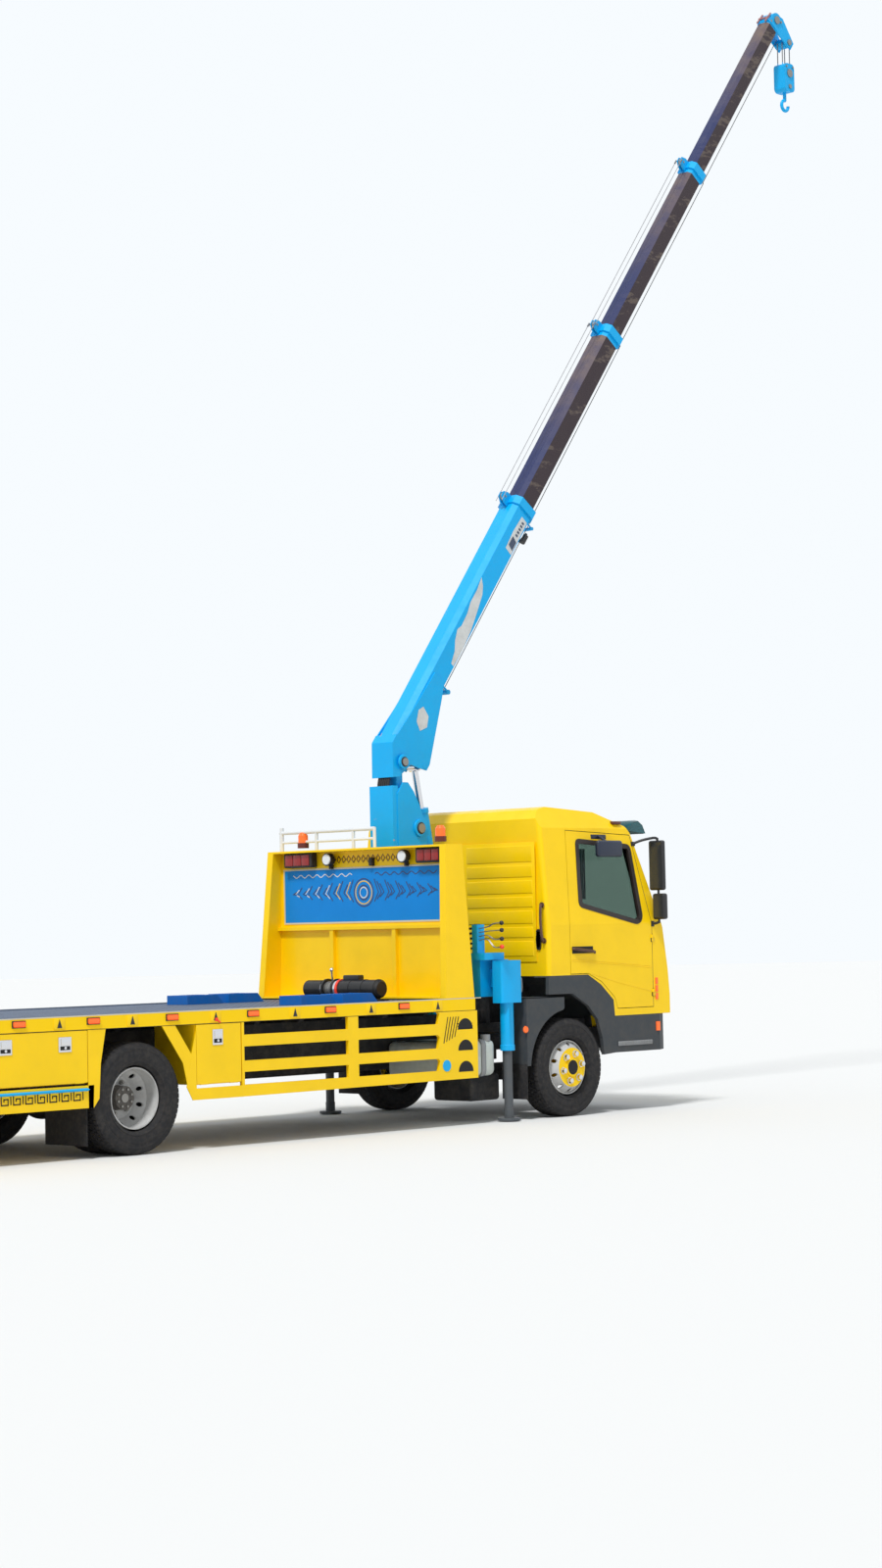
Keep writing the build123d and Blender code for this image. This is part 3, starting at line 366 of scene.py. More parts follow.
hole = add(tree, "Math", {0: away.outputs["Value"], 1: hole_pitch * 0.27}, operation="LESS_THAN")
holed = add(tree, "Mix", {0: hole.outputs[0], 6: own, 7: (0.012, 0.016, 0.024, 1.0)}, data_type="RGBA")
top = add(tree, "Math", {0: parted.outputs[2], 1: 1.049}, operation="GREATER_THAN")
railed = add(tree, "Mix", {0: outside.outputs[0], 6: holed.outputs[2], 7: body_yellow}, data_type="RGBA")
masked(tree, shader, top, railed.outputs[2], (0.16, 0.20, 0.26, 1.0))
finish_nodes(deck_paint, "deck")
finish_nodes(yellow_paint, "side_skirts", "cab_shell", "cab_door_left", "cab_door_right", "tool_boxes",
             "tool_door_small_left", "tool_door_small_right", "tool_door_rear_left", "tool_door_rear_right")


def soften(form, edges, offset, segments):
    bmesh.ops.bevel(form, geom=edges, offset=offset, offset_type="OFFSET", affect="EDGES", segments=segments,
                    profile=0.5, material=-1)


def block(form, low, high, soft=0.0, segments=2):
    """A box between two points in metres from the front axle, its edges rounded by the given softness."""
    low, high = place(*low), place(*high)
    low.y, high.y = sorted((low.y, high.y))
    made = bmesh.ops.create_cube(form, size=1.0)["verts"]
    for vert in made:
        vert.co = Vector([low[i] + (vert.co[i] + 0.5) * (high[i] - low[i]) for i in range(3)])
    if soft:
        soften(form, list({edge for vert in made for edge in vert.link_edges}), soft, segments)


pale_line = tinted("pale_line", (0.62, 0.58, 0.42, 1.0))
# The red and orange finishes glow a little. On lamps that is their own light; on the reflectors, the red lever, knob
# and ring and the striped end boards it is painted light.
red_lens_and_painted_glow = tinted("red_lens_and_painted_glow", (0.85, 0.05, 0.02, 1.0), 0.15, glow=0.12)
orange_lens_and_painted_glow = tinted("orange_lens_and_painted_glow", (1.0, 0.16, 0.02, 1.0), 0.2, glow=0.15)
white_lens = tinted("white_lens", (0.80, 0.82, 0.82, 1.0), 0.12)
white_paint = tinted("white_paint", (0.75, 0.76, 0.76, 1.0), 0.4)
black_plastic = tinted("black_plastic", (0.014, 0.014, 0.016, 1.0), 0.4)

# Side rail fittings: orange-red reflectors in dark holders, yellow pocket plates with a tall black triangle, the
# seam below them and the pale line on the rail's cap
sheet_y = 1.1495
reflector_places = (-5.935, -5.248, -4.487, -3.666, -2.839, -2.014)
pocket_places = (-6.25, -5.564, -4.875, -4.05, -3.222, -2.388, -1.62)


def between(form, near, far):
    """The faces of a flat piece from the corners of its two sides."""
    form.faces.new(near)
    form.faces.new(far[::-1])
    for i in range(len(near)):
        form.faces.new((near[i], near[(i + 1) % len(near)], far[(i + 1) % len(near)], far[i]))


def wedge(form, side, points, near, far):
    """A flat piece on the side's plane from corners in x and z, between two distances from the middle plane."""
    between(form, *([form.verts.new(place(x, side * y, z)) for x, z in points] for y in (near, far)))


lenses, holders, pockets, marks, seams, lines = (bmesh.new() for _ in range(6))
for side in (1, -1):
    for x in reflector_places:
        block(holders, (x - 0.062, side * sheet_y, 0.985), (x + 0.062, side * 1.157, 1.038), 0.003)
        block(lenses, (x - 0.054, side * 1.155, 0.991), (x + 0.054, side * 1.166, 1.032), 0.010, 3)
    for x in pocket_places:
        block(pockets, (x - 0.052, side * sheet_y, 0.962), (x + 0.052, side * 1.1535, 1.045), 0.001)
        wedge(marks, side, [(x - 0.022, 0.972), (x + 0.022, 0.972), (x, 1.036)], 1.153, 1.156)
    block(seams, (-7.29, side * 1.146, 0.9485), (-1.10, side * 1.1508, 0.9525))
    block(lines, (-7.29, side * 1.146, 1.0475), (-1.10, side * 1.1508, 1.0555))
# The reflectors glow a little: painted light
finished("rail_reflectors", lenses, orange_lens_and_painted_glow, "root")
finished("reflector_holders", holders, black_plastic, "root")
finished("rail_pockets", pockets, yellow_paint, "root")
finished("pocket_marks", marks, black_plastic, "root")
finished("rail_seams", seams, seam_dark_and_painted_shade, "root")
finished("rail_cap_lines", lines, pale_line, "root")

# Tool box fittings: a recessed chrome latch with its paddle and lock on each door, and the red lever above the
# small one. The latches ride on the doors.
def latch(form, marks, side, x, z, width, height):
    block(form, (x - width / 2, side * sheet_y, z - height / 2), (x + width / 2, side * 1.156, z + height / 2), 0.004)
    block(form, (x - width * 0.34, side * 1.1555, z - height * 0.05),
          (x + width * 0.34, side * 1.163, z + height * 0.40), 0.003)
    # The dark band is painted shade in the latch's recess
    block(marks, (x - width * 0.38, side * 1.155, z - height * 0.36),
          (x + width * 0.38, side * 1.1575, z - height * 0.10), 0.001)
    pin(form, x, side * 1.156, side * 1.161, z - height * 0.22, 0.011, 12)


for side, small, large in ((1, "tool_door_body_1", "tool_door_body_3"), (-1, "tool_door_body_2", "tool_door_body_4")):
    for body, places, size in ((small, ((-4.035, 0.845),), (0.105, 0.12)),
                               (large, ((-5.517, 0.85), (-6.06, 0.85)), (0.12, 0.11))):
        plate, recess = bmesh.new(), bmesh.new()
        for x, z in places:
            latch(plate, recess, side, x, z, *size)
        finished(f"latches_{body}", plate, chrome, body)
        finished(f"latch_gaps_{body}", recess, seam_dark_and_painted_shade, body)
# The red levers glow a little: painted light
lever = bmesh.new()
for side in (1, -1):
    block(lever, (-4.06, side * sheet_y, 0.965), (-4.03, side * 1.158, 0.992), 0.002)
    rod(lever, (-4.045, side * 1.156, 0.985), (-4.02, side * 1.17, 0.955), 0.006, 10)
finished("box_levers", lever, red_lens_and_painted_glow, "root")

# Blue marker tube before the rear meander strip, and the plain blue disc on the front guard panel
crane_blue = (0.0, 0.42, 0.86, 1.0)
blue_paint = painted("crane_blue", crane_blue, dust=0.08, roughness=0.30, coat=0.15)
trim = bmesh.new()
tube_z = 0.515
for side in (1, -1):
    rod(trim, (-6.52, side * 1.161, tube_z), (-5.32, side * 1.161, tube_z), 0.011, 16)
    rod(trim, (-5.32, side * 1.161, tube_z), (-5.30, side * 1.161, tube_z), 0.011, 16, 0.004)
    for x in (-6.4, -5.9, -5.42):
        pin(trim, x, side * 1.148, side * 1.161, tube_z, 0.008, 10)
    pin(trim, -1.526, side * 1.149, side * 1.154, 0.506, 0.047, 32)
finished("blue_side_trim", trim, blue_paint, "root")

# Headboard: the blue panel across it with a pale edge and a plain pattern, the long red lamps and the
# round work lamps in its top bay, the beacons, and the white guard rail on top.
sweep_white = (0.62, 0.66, 0.70, 1.0)
panel_low, panel_high = 1.709, 2.162
wall_x = -1.310
wall_back = wall_x - 0.0005


def slab(form, y0, y1, z0, z1, back, front):
    """A flat plate on the headboard's rear face, from back to front out of it towards the rear."""
    block(form, (wall_x - front, y0, z0), (wall_x - back, y1, z1))


def other_above(material, name, level, colour):
    """A named copy of a material with another colour above a level."""
    material, tree, shader, own, spot = opened(material, name)
    height = add(tree, "SeparateXYZ", {0: spot}).outputs[2]
    masked(tree, shader, add(tree, "Math", {0: height, 1: level}, operation="GREATER_THAN"), own, colour)
    return material


finish_nodes(other_above(yellow_paint, "headboard_yellow", 2.3345, (0.72, 0.74, 0.75, 1.0)), "headboard")

panel, rims = bmesh.new(), bmesh.new()
slab(panel, -0.985, 0.985, panel_low, panel_high, -0.001, 0.003)
for y0, y1, z0, z1 in ((-1.0, 1.0, panel_low - 0.014, panel_low), (-1.0, 1.0, panel_high, panel_high + 0.014),
                       (-1.0, -0.985, panel_low, panel_high), (0.985, 1.0, panel_low, panel_high)):
    slab(rims, y0, y1, z0, z1, -0.001, 0.006)
panel_paint = painted("panel_blue", (0.0, 0.235, 0.68, 1.0), dust=0.04, roughness=0.45, coat=0.0)
finished("headboard_panel", panel, panel_paint, "root")
finished("headboard_panel_rims", rims, pale_line, "root")

# A plain pattern of rings, chevrons and waves in pale, gold and dark lines on the blue
rings, darks, golds = bmesh.new(), bmesh.new(), bmesh.new()


def ribbon(form, points, width, lift):
    """A narrow flat band through points in y and z on the headboard's panel."""
    spots = [Vector((0, y, z)) for y, z in points]
    pairs = []
    for i, spot in enumerate(spots):
        ahead = (spots[min(i + 1, len(spots) - 1)] - spots[max(i - 1, 0)]).normalized()
        across = Vector((0, -ahead.z, ahead.y)) * width / 2
        pairs.append([form.verts.new(place(wall_x - lift, p.y, p.z)) for p in (spot - across, spot + across)])
    for near, far in zip(pairs, pairs[1:]):
        form.faces.new((near[0], near[1], far[1], far[0]))


pattern_middle_z = 1.955
for index in range(-6, 7):
    y = index * 0.128
    height = 0.125 - 0.011 * abs(index)
    if index:
        reach = 0.05 if index > 0 else -0.05
        for fold in range(3):
            shift = fold * 0.034 * (1 if index > 0 else -1)
            line = [(y + shift, pattern_middle_z + height - fold * 0.02), (y + shift + reach, pattern_middle_z),
                    (y + shift, pattern_middle_z - height * 0.7 + fold * 0.02)]
            pale = golds if index in (1, 2) else rings
            ribbon(pale if index > 0 and fold == 1 else darks, line, 0.011, 0.0045 + 0.0004 * fold)
for radius, form, lift in ((0.118, darks, 0.0046), (0.098, golds, 0.005), (0.062, darks, 0.0054),
                           (0.045, rings, 0.0058)):
    turn = [(radius * math.sin(2 * math.pi * i / 40), pattern_middle_z + radius * math.cos(2 * math.pi * i / 40))
            for i in range(41)]
    ribbon(form, turn, 0.011, lift)
for side in (1, -1):
    wave = [(side * (0.14 + 0.018 * i), panel_high - 0.052 + 0.013 * math.sin(i * 1.1)) for i in range(42)]
    ribbon(rings if side > 0 else darks, wave, 0.009, 0.0046)
finished("panel_pattern_light", rings, tinted("pattern_light", sweep_white), "root")
finished("panel_pattern_gold", golds, tinted("pattern_gold", (0.75, 0.50, 0.10, 1.0)), "root")
finished("panel_pattern_dark", darks, tinted("pattern_dark", (0.02, 0.05, 0.16, 1.0)), "root")

# Fringe of plain dark lozenges on the top bay, between the lamps
fringe = bmesh.new()
for index in range(15):
    y = -0.42 + index * 0.06
    ribbon(fringe, [(y - 0.022, 2.245), (y, 2.275), (y + 0.022, 2.245)], 0.010, 0.004)
    ribbon(fringe, [(y - 0.022, 2.245), (y, 2.215), (y + 0.022, 2.245)], 0.010, 0.004)
finished("headboard_fringe", fringe, tinted("fringe_dark", (0.16, 0.05, 0.01, 1.0)), "root")

lamp_paint = painted("lamp_black", (0.020, 0.018, 0.018, 1.0), dust=0.2, roughness=0.35, coat=0.1)
glow_red, glow_white, beacon, base, housings = (bmesh.new() for _ in range(5))
lamp_x, lamp_z = -1.385, 2.248
rail_x = -1.27
for y0, y1 in ((0.572, 0.923), (-0.993, -0.692)):
    block(housings, (lamp_x, y0, 2.186), (wall_back, y1, 2.314), 0.012, 3)
for y in (0.375, -0.540):
    rod(housings, (lamp_x - 0.004, y, lamp_z), (-1.345, y, lamp_z), 0.056, 28)
    rod(housings, (-1.345, y, lamp_z), (wall_back, y, lamp_z), 0.056, 28, 0.030)
    block(housings, (-1.352, y - 0.012, 2.165), (wall_back, y + 0.012, 2.20), 0.003)
block(housings, (-1.352, -0.14, 2.18), (wall_back, -0.10, 2.25), 0.006)
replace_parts(finished("headboard_lamp_cases", housings, lamp_paint, "root"), "headboard_lamps")
for y0, y1 in ((0.580, 0.915), (-0.985, -0.700)):
    for part in range(3):
        a = y0 + 0.014 + part * (y1 - y0 - 0.028) / 3
        block(glow_red, (lamp_x - 0.006, a + 0.004, 2.204), (lamp_x + 0.002, a + (y1 - y0 - 0.028) / 3 - 0.004, 2.296),
              0.003)
for y in (0.375, -0.540):
    rod(glow_white, (lamp_x - 0.002, y, lamp_z), (lamp_x - 0.012, y, lamp_z), 0.048, 28, 0.044)
finished("headboard_red_lenses", glow_red, tinted("dark_red_lens", (0.30, 0.012, 0.012, 1.0), 0.15), "root")
finished("work_lamp_glasses", glow_white, white_lens, "root")
for y in (0.790, -0.885):
    rod(beacon, (rail_x, y, 2.405), (rail_x, y, 2.47), 0.043, 24)
    rod(beacon, (rail_x, y, 2.47), (rail_x, y, 2.497), 0.043, 24, 0.026)
    rod(base, (rail_x, y, 2.36), (rail_x, y, 2.404), 0.05, 24)
rail = bmesh.new()
for z, radius in ((2.500, 0.017), (2.415, 0.012)):
    pin(rail, rail_x, 0.16, -0.10, z, radius, 12)
rod(rail, (rail_x, -0.10, 2.330), (rail_x, -0.10, 2.512), 0.015, 12)
rod(rail, (rail_x, 1.062, 2.330), (rail_x, 1.062, 2.545), 0.018, 12)
finished("guard_rail_end", rail, white_paint, "root")
finished("beacon_domes", beacon, orange_lens_and_painted_glow, "root")
finished("beacon_bases", base, tinted("beacon_base", (0.10, 0.012, 0.01, 1.0)), "root")

# Recovery winch on the deck: black motor and gearbox, a red ring, chromed clutch with its lever, and the rope
def ball(form, x, y, z, radius):
    bmesh.ops.create_uvsphere(form, u_segments=16, v_segments=10, radius=radius,
                              matrix=Matrix.Translation(place(x, y, z)))


winch_black = painted("winch_black", (0.012, 0.012, 0.013, 1.0), dust=0.12, roughness=0.3, coat=0.3)
ring, clutch, wound, body = (bmesh.new() for _ in range(4))
winch_x, winch_z = -1.75, 1.145
# Both ends across the truck of each round piece of motor, gearbox and clutch, and the radius at each end
for form, y0, y1, radius, far in ((body, -0.620, -0.170, 0.076, 0.076), (body, -0.635, -0.620, 0.060, 0.074),
                                  (body, -0.606, -0.594, 0.080, 0.080), (body, -0.456, -0.444, 0.080, 0.080),
                                  (body, -0.306, -0.294, 0.080, 0.080), (body, -0.115, -0.100, 0.086, 0.086),
                                  (body, 0.000, 0.020, 0.086, 0.086), (body, 0.045, 0.240, 0.074, 0.074),
                                  (body, 0.240, 0.265, 0.074, 0.045), (ring, -0.175, -0.150, 0.083, 0.083),
                                  (clutch, -0.145, -0.115, 0.078, 0.078), (clutch, 0.020, 0.045, 0.070, 0.070)):
    pin(form, winch_x, y0, y1, winch_z, radius, 32, far)
block(body, (winch_x - 0.075, -0.64, 1.0455), (winch_x + 0.075, 0.27, 1.062), 0.004)
for y in (-0.56, -0.24, 0.12):
    block(body, (winch_x - 0.05, y - 0.012, 1.06), (winch_x + 0.05, y + 0.012, winch_z), 0.004)
block(body, (winch_x - 0.03, -0.38, winch_z + 0.06), (winch_x + 0.05, -0.20, winch_z + 0.115), 0.012, 3)
for index in range(9):
    y = -0.096 + index * 0.012
    pin(wound, winch_x, y - 0.005, y + 0.005, winch_z, 0.062 + 0.002 * (index % 2), 24)
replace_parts(finished("winch_body", body, winch_black, "root"), "deck_winch")
finished("winch_rope", wound, dull_steel, "root")
rod(clutch, (winch_x, -0.05, winch_z + 0.06), (winch_x - 0.02, -0.06, 1.300), 0.008, 12)
ball(clutch, winch_x - 0.02, -0.06, 1.305, 0.018)
# The red ring glows a little: painted light
finished("winch_red_ring", ring, red_lens_and_painted_glow, "root")
finished("winch_clutch", clutch, chrome, "root")
finish_nodes(painted("chock_blue", (0.0, 0.13, 0.48, 1.0), dust=0.2, roughness=0.45, coat=0.0), "wheel_chocks")

# Crane. The base, column, boom root, barrel, hook block and outriggers are blue with rubbed and chipped places;
# the inner sections are dark violet-brown with pale scratches along their upper faces, which also carry a painted
# navy sheen.
chipped_pink = (0.42, 0.34, 0.33, 1.0)


def worn(name, colour, bare, amount, stretch):
    """Paint with patches rubbed through to another colour, stretched along the boom by three factors."""
    material, tree, shader, own, spot = opened(painted(name, colour, dust=0.08, roughness=0.32, coat=0.12))
    turned = add(tree, "Mapping", {0: spot, 2: (0, math.radians(boom_angle), 0), 3: stretch})
    patch = add(tree, "TexNoise", {"Vector": turned.outputs[0], "Scale": 4.0, "Detail": 10.0, "Roughness": 0.68})
    cover = add(tree, "MapRange", {0: patch.outputs[0], 1: amount, 2: amount + 0.04})
    masked(tree, shader, cover, own, bare)
    return material


boom_angle = 53.2
crane_paint = worn("crane_blue_worn", crane_blue, chipped_pink, 0.665, (1.0, 2.0, 2.0))
inner_paint = worn("inner_boom", (0.034, 0.020, 0.026, 1.0), (0.110, 0.082, 0.070, 1.0), 0.56, (0.7, 1.6, 2.2))
finish_nodes(crane_paint, "crane_base", "lever_bank", "crane_column", "winch_drum", "boom_base", "lift_barrel",
             "hook_block", "outrigger_beam_left", "outrigger_beam_right")

# The inner sections carry blue collars: the same mesh, told apart by its place along the boom
pivot = place(-0.95, 0, 3.075)
boom_way = Vector((math.cos(math.radians(boom_angle)), 0, math.sin(math.radians(boom_angle))))
for node, collar_start in (("boom_second", 4.985), ("boom_third", 7.210), ("boom_tip", 9.405)):
    material, tree, shader, own, spot = opened(inner_paint, f"{node}_paint")
    from_pivot = add(tree, "VectorMath", {0: spot, 1: tuple(pivot)}, operation="SUBTRACT")
    along = add(tree, "VectorMath", {0: from_pivot.outputs[0], 1: tuple(boom_way)}, operation="DOT_PRODUCT")
    past = add(tree, "Math", {0: along.outputs["Value"], 1: collar_start}, operation="GREATER_THAN")
    # Faces turned to the boom's back and up to the sky are mixed towards navy as a painted sheen, and near the collar
    # towards pale brown streaks of rubbed paint
    facing = add(tree, "VectorMath", {0: add(tree, "NewGeometry").outputs["True Normal"],
                                      1: (-boom_way.z, 0, boom_way.x)}, operation="DOT_PRODUCT")
    back = add(tree, "MapRange", {0: facing.outputs["Value"], 1: 0.25, 2: 0.55, 3: 0.0, 4: 0.85})
    streaks = add(tree, "TexNoise", {"Vector": spot, "Scale": 7.0, "Detail": 6.0})
    near_collar = add(tree, "MapRange", {0: along.outputs["Value"], 1: collar_start - 1.5, 2: collar_start, 3: 0.0,
                                         4: 1.5})
    rub = add(tree, "Math", {0: near_collar.outputs[0], 1: streaks.outputs[0]}, operation="MULTIPLY")
    sheen_and_rub_wear = add(tree, "Mix", {0: rub.outputs[0], 6: (0.010, 0.022, 0.110, 1.0), 7: (0.20, 0.14, 0.11, 1.0)},
                 data_type="RGBA")
    navy = add(tree, "Mix", {0: back.outputs[0], 6: own, 7: sheen_and_rub_wear.outputs[2]}, data_type="RGBA")
    masked(tree, shader, past, navy.outputs[2], crane_blue)
    finish_nodes(material, node)
finish_nodes(blue_paint, "hook")
finish_nodes(chrome, "lift_rod")
galvanised = painted("galvanised", (0.30, 0.31, 0.32, 1.0), dust=0.35, roughness=0.5, coat=0.0)
jack_steel = painted("jack_steel", (0.085, 0.095, 0.105, 1.0), dust=0.3, roughness=0.4, coat=0.1)
finish_nodes(jack_steel, "jack_foot_left", "jack_foot_right")


def sweep(form, points, radius, sides=8, steps=5):
    """A round tube of even radius along a smooth curve through points given from the front axle."""
    spots = [place(*point) for point in points]
    path = []
    for i in range(len(spots) - 1):
        before, start = spots[max(i - 1, 0)], spots[i]
        end, after = spots[i + 1], spots[min(i + 2, len(spots) - 1)]
        for step in range(steps):
            t = step / steps
            path.append(0.5 * (2 * start + (end - before) * t + (2 * before - 5 * start + 4 * end - after) * t ** 2
                               + (3 * start - before - 3 * end + after) * t ** 3))
    path.append(spots[-1])
    normal, rows = None, []
    for i, spot in enumerate(path):
        ahead = (path[min(i + 1, len(path) - 1)] - path[max(i - 1, 0)]).normalized()
        normal = ahead.orthogonal() if normal is None else normal - ahead * normal.dot(ahead)
        normal.normalize()
        across = ahead.cross(normal)
        rows.append([form.verts.new(spot + radius * (math.cos(2 * math.pi * k / sides) * normal
                                                     + math.sin(2 * math.pi * k / sides) * across))
                     for k in range(sides)])
    for near, far in zip(rows, rows[1:]):
        for k in range(sides):
            form.faces.new((near[k], near[(k + 1) % sides], far[(k + 1) % sides], far[k]))
    form.faces.new(rows[0][::-1])
    form.faces.new(rows[-1])


def boom_spot(s, t, y=0.0):
    """A point on the boom, along it from its pivot, across it towards its back and sideways."""
    across = Vector((-boom_way.z, 0, boom_way.x))
    spot = pivot + boom_way * s + across * t + Vector((0, y, 0))
    return spot - place(0, 0, 0)


# Boom fittings: at each collar a bracket on the back with a guide wheel, the extension wires that run over them,
# the hoist wire below, rubbed labels on the base section and a small limit switch at its mouth
collar_places = (("boom_1", 2.930, 0.130), ("boom_2", 5.115, 0.114), ("boom_3", 7.340, 0.101))
bracket_outline = ((-0.120, -0.01), (-0.005, -0.01), (-0.005, 0.05), (-0.035, 0.10), (-0.085, 0.10), (-0.120, 0.05))
for body, end, half in collar_places:
    form, axle = bmesh.new(), bmesh.new()
    top = 0.057 + half + 0.017
    for y in (-0.018, 0.018):
        between(form, *([form.verts.new(place(*boom_spot(end + s, top + t, y + shift))) for s, t in bracket_outline]
                        for shift in (-0.004, 0.004)))
    rod(axle, boom_spot(end - 0.06, top + 0.055, -0.013), boom_spot(end - 0.06, top + 0.055, 0.013), 0.040, 24)
    rod(axle, boom_spot(end - 0.06, top + 0.055, -0.028), boom_spot(end - 0.06, top + 0.055, 0.028), 0.010, 12)
    finished(f"wire_bracket_{body}", form, blue_paint, body)
    finished(f"wire_wheel_{body}", axle, dull_steel, body)

wire_steel = tinted("wire_steel", (0.20, 0.20, 0.21, 1.0), 0.4, 0.6)
for body, start, end, t in (("boom_2", 2.80, 5.02, 0.288), ("boom_3", 5.02, 7.25, 0.272)):
    form = bmesh.new()
    for y in (-0.036, 0.036):
        rod(form, boom_spot(start, t, y), boom_spot(end, t, y), 0.0035, 6)
        rod(form, boom_spot(end - 0.02, t, y), boom_spot(end + 0.02, t, y), 0.008, 8)
    finished(f"extension_wires_{body}", form, wire_steel, body)
for body, start, end, y in (("boom_1", 0.92, 2.95, -0.018), ("boom_2", 2.95, 5.14, -0.006),
                            ("boom_3", 5.14, 7.36, 0.006), ("boom_4", 7.36, 9.46, 0.018)):
    form = bmesh.new()
    rod(form, boom_spot(start, -0.128, y), boom_spot(end, -0.128, y), 0.004, 6)
    finished(f"hoist_wire_{body}", form, wire_steel, body)
form = bmesh.new()
for y in (-0.046, 0.046):
    rod(form, boom_spot(0.92, -0.06, y), boom_spot(0.92, -0.163, y), 0.010, 10)
    rod(form, boom_spot(2.84, -0.08, y), boom_spot(2.84, -0.157, y), 0.008, 10)
rod(form, boom_spot(0.92, -0.163, -0.054), boom_spot(0.92, -0.163, 0.054), 0.022, 16)
rod(form, boom_spot(2.84, -0.157, -0.054), boom_spot(2.84, -0.157, 0.054), 0.016, 16)
finished("hoist_wire_guides", form, blue_paint, "boom_1")


def sticker(form, corners, y):
    """A thin worn patch on the boom's side from corners along and across it."""
    form.faces.new([form.verts.new(place(*boom_spot(s, t, y))) for s, t in corners])


label_white = painted("label_white", (0.66, 0.68, 0.68, 1.0), dust=0.35, roughness=0.6, coat=0.0)
label_dark = tinted("label_dark", (0.05, 0.07, 0.12, 1.0), 0.6)
form, marks = bmesh.new(), bmesh.new()
for side in (1, -1):
    y = side * 0.1185
    sticker(form, ((2.40, -0.030), (2.78, -0.025), (2.785, 0.060), (2.60, 0.072), (2.41, 0.062)), y)
    sticker(form, ((1.10, -0.028), (1.30, -0.036), (1.50, -0.022), (1.72, 0.020), (1.86, 0.050), (1.93, 0.088),
                   (1.985, 0.150), (1.85, 0.128), (1.71, 0.130), (1.60, 0.104), (1.46, 0.098), (1.40, 0.120),
                   (1.30, 0.086), (1.22, 0.036), (1.10, 0.006)), y)
    y = side * 0.1195
    sticker(marks, ((2.44, -0.018), (2.54, -0.018), (2.56, 0.048), (2.46, 0.048)), y)
    for index in range(5):
        s0 = 2.585 + index * 0.036
        sticker(marks, ((s0, 0.0), (s0 + 0.022, 0.0), (s0 + 0.022, 0.030), (s0, 0.030)), y)
finished("boom_labels", form, label_white, "boom_1")
finished("boom_label_marks", marks, label_dark, "boom_1")
form = bmesh.new()
for side in (1, -1):
    rows = [form.verts.new(place(*boom_spot(s, t, side * 0.1312))) for s, t in
            ((0.36, -0.02), (0.44, -0.07), (0.53, -0.03), (0.56, 0.07), (0.50, 0.10), (0.40, 0.06))]
    form.faces.new(rows)
finished("boom_root_rub", form, label_white, "boom_1")
form = bmesh.new()
rod(form, boom_spot(2.62, -0.105, -0.085), boom_spot(2.70, -0.105, -0.085), 0.026, 16)
rod(form, boom_spot(2.60, -0.072, -0.085), boom_spot(2.72, -0.10, -0.085), 0.012, 12)
finished("boom_limit_switch", form, black_plastic, "boom_1")

# Column: large ringed bosses at the lift cylinder's foot and below the pivot, a hose bundle with clamps in the rear
# gap, a small end cap, and bolts round the slewing ring
form, dark, steel = bmesh.new(), bmesh.new(), bmesh.new()
for side in (1, -1):
    for x, z, radius in ((-0.765, 2.505, 0.078), (-0.95, 3.075, 0.066)):
        body_y = 0.151
        pin(form, x, side * body_y, side * (body_y + 0.016), z, radius, 32, radius * 0.94)
        pin(dark, x, side * (body_y + 0.015), side * (body_y + 0.018), z, radius * 0.66, 32)
        pin(steel, x, side * (body_y + 0.017), side * (body_y + 0.028), z, radius * 0.52, 24)
    for index in range(5):
        pin(steel, -0.98 + 0.06 * index, side * 0.151, side * 0.160, 1.62, 0.012, 6)
for y in (-0.075, -0.045, -0.015, 0.015, 0.045, 0.075):
    sweep(dark, ((-1.052, y, 1.42), (-1.048, y, 1.80), (-1.050, y * 0.9, 2.20), (-1.048, y, 2.60),
                 (-1.052, y * 0.8, 2.86), (-1.03, y * 0.8, 2.96)), 0.0115, 8, 4)
for z in (1.62, 2.04, 2.41, 2.68):
    block(steel, (-1.068, -0.095, z - 0.014), (-1.033, 0.095, z + 0.014), 0.003)
rod(dark, (-1.046, -0.118, 2.80), (-1.046, -0.118, 2.86), 0.020, 16)
finished("column_bosses", form, blue_paint, "column")
finished("column_hoses", dark, rubber, "column")
finished("column_clamps", steel, dull_steel, "column")

# Hook block and boom head: bolts in the block's cheeks, its wire falls in bare steel, the head's pins, and a faded
# red stay that the extension wires pass under
low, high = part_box("hook_block")
finish_nodes(other_above(crane_paint, "hook_block_paint", high.z - 0.205, (0.20, 0.20, 0.21, 1.0)), "hook_block")
block_x, block_top = (low.x + high.x) / 2 - front_axle_x, high.z - 0.215
bolts = bmesh.new()
for side in (1, -1):
    for x, z, radius in ((0.0, -0.10, 0.042), (0.0, -0.235, 0.022), (-0.05, -0.035, 0.010), (0.05, -0.035, 0.010)):
        pin(bolts, block_x + x, side * 0.0695, side * 0.080, block_top + z, radius, 20)
finished("hook_block_bolts", bolts, dull_steel, "hook_hanger")
head = bmesh.new()
for side in (1, -1):
    for s, t, radius in ((9.52, 0.057, 0.040), (9.485, -0.213, 0.030), (9.44, 0.12, 0.012), (9.55, 0.0, 0.012)):
        y0, y1 = side * 0.0735, side * 0.086
        rod(head, boom_spot(s, t, y0), boom_spot(s, t, y1), radius, 20)
finished("head_pins", head, dull_steel, "boom_4")
form = bmesh.new()
for y in (-0.05, 0.05):
    rod(form, boom_spot(9.40, 0.165, y), boom_spot(9.53, 0.150, y), 0.010, 8)
rod(form, boom_spot(9.46, 0.16, -0.06), boom_spot(9.46, 0.16, 0.06), 0.012, 12)
finished("head_wire_stay", form, tinted("faded_red", (0.36, 0.16, 0.16, 1.0)), "boom_4")

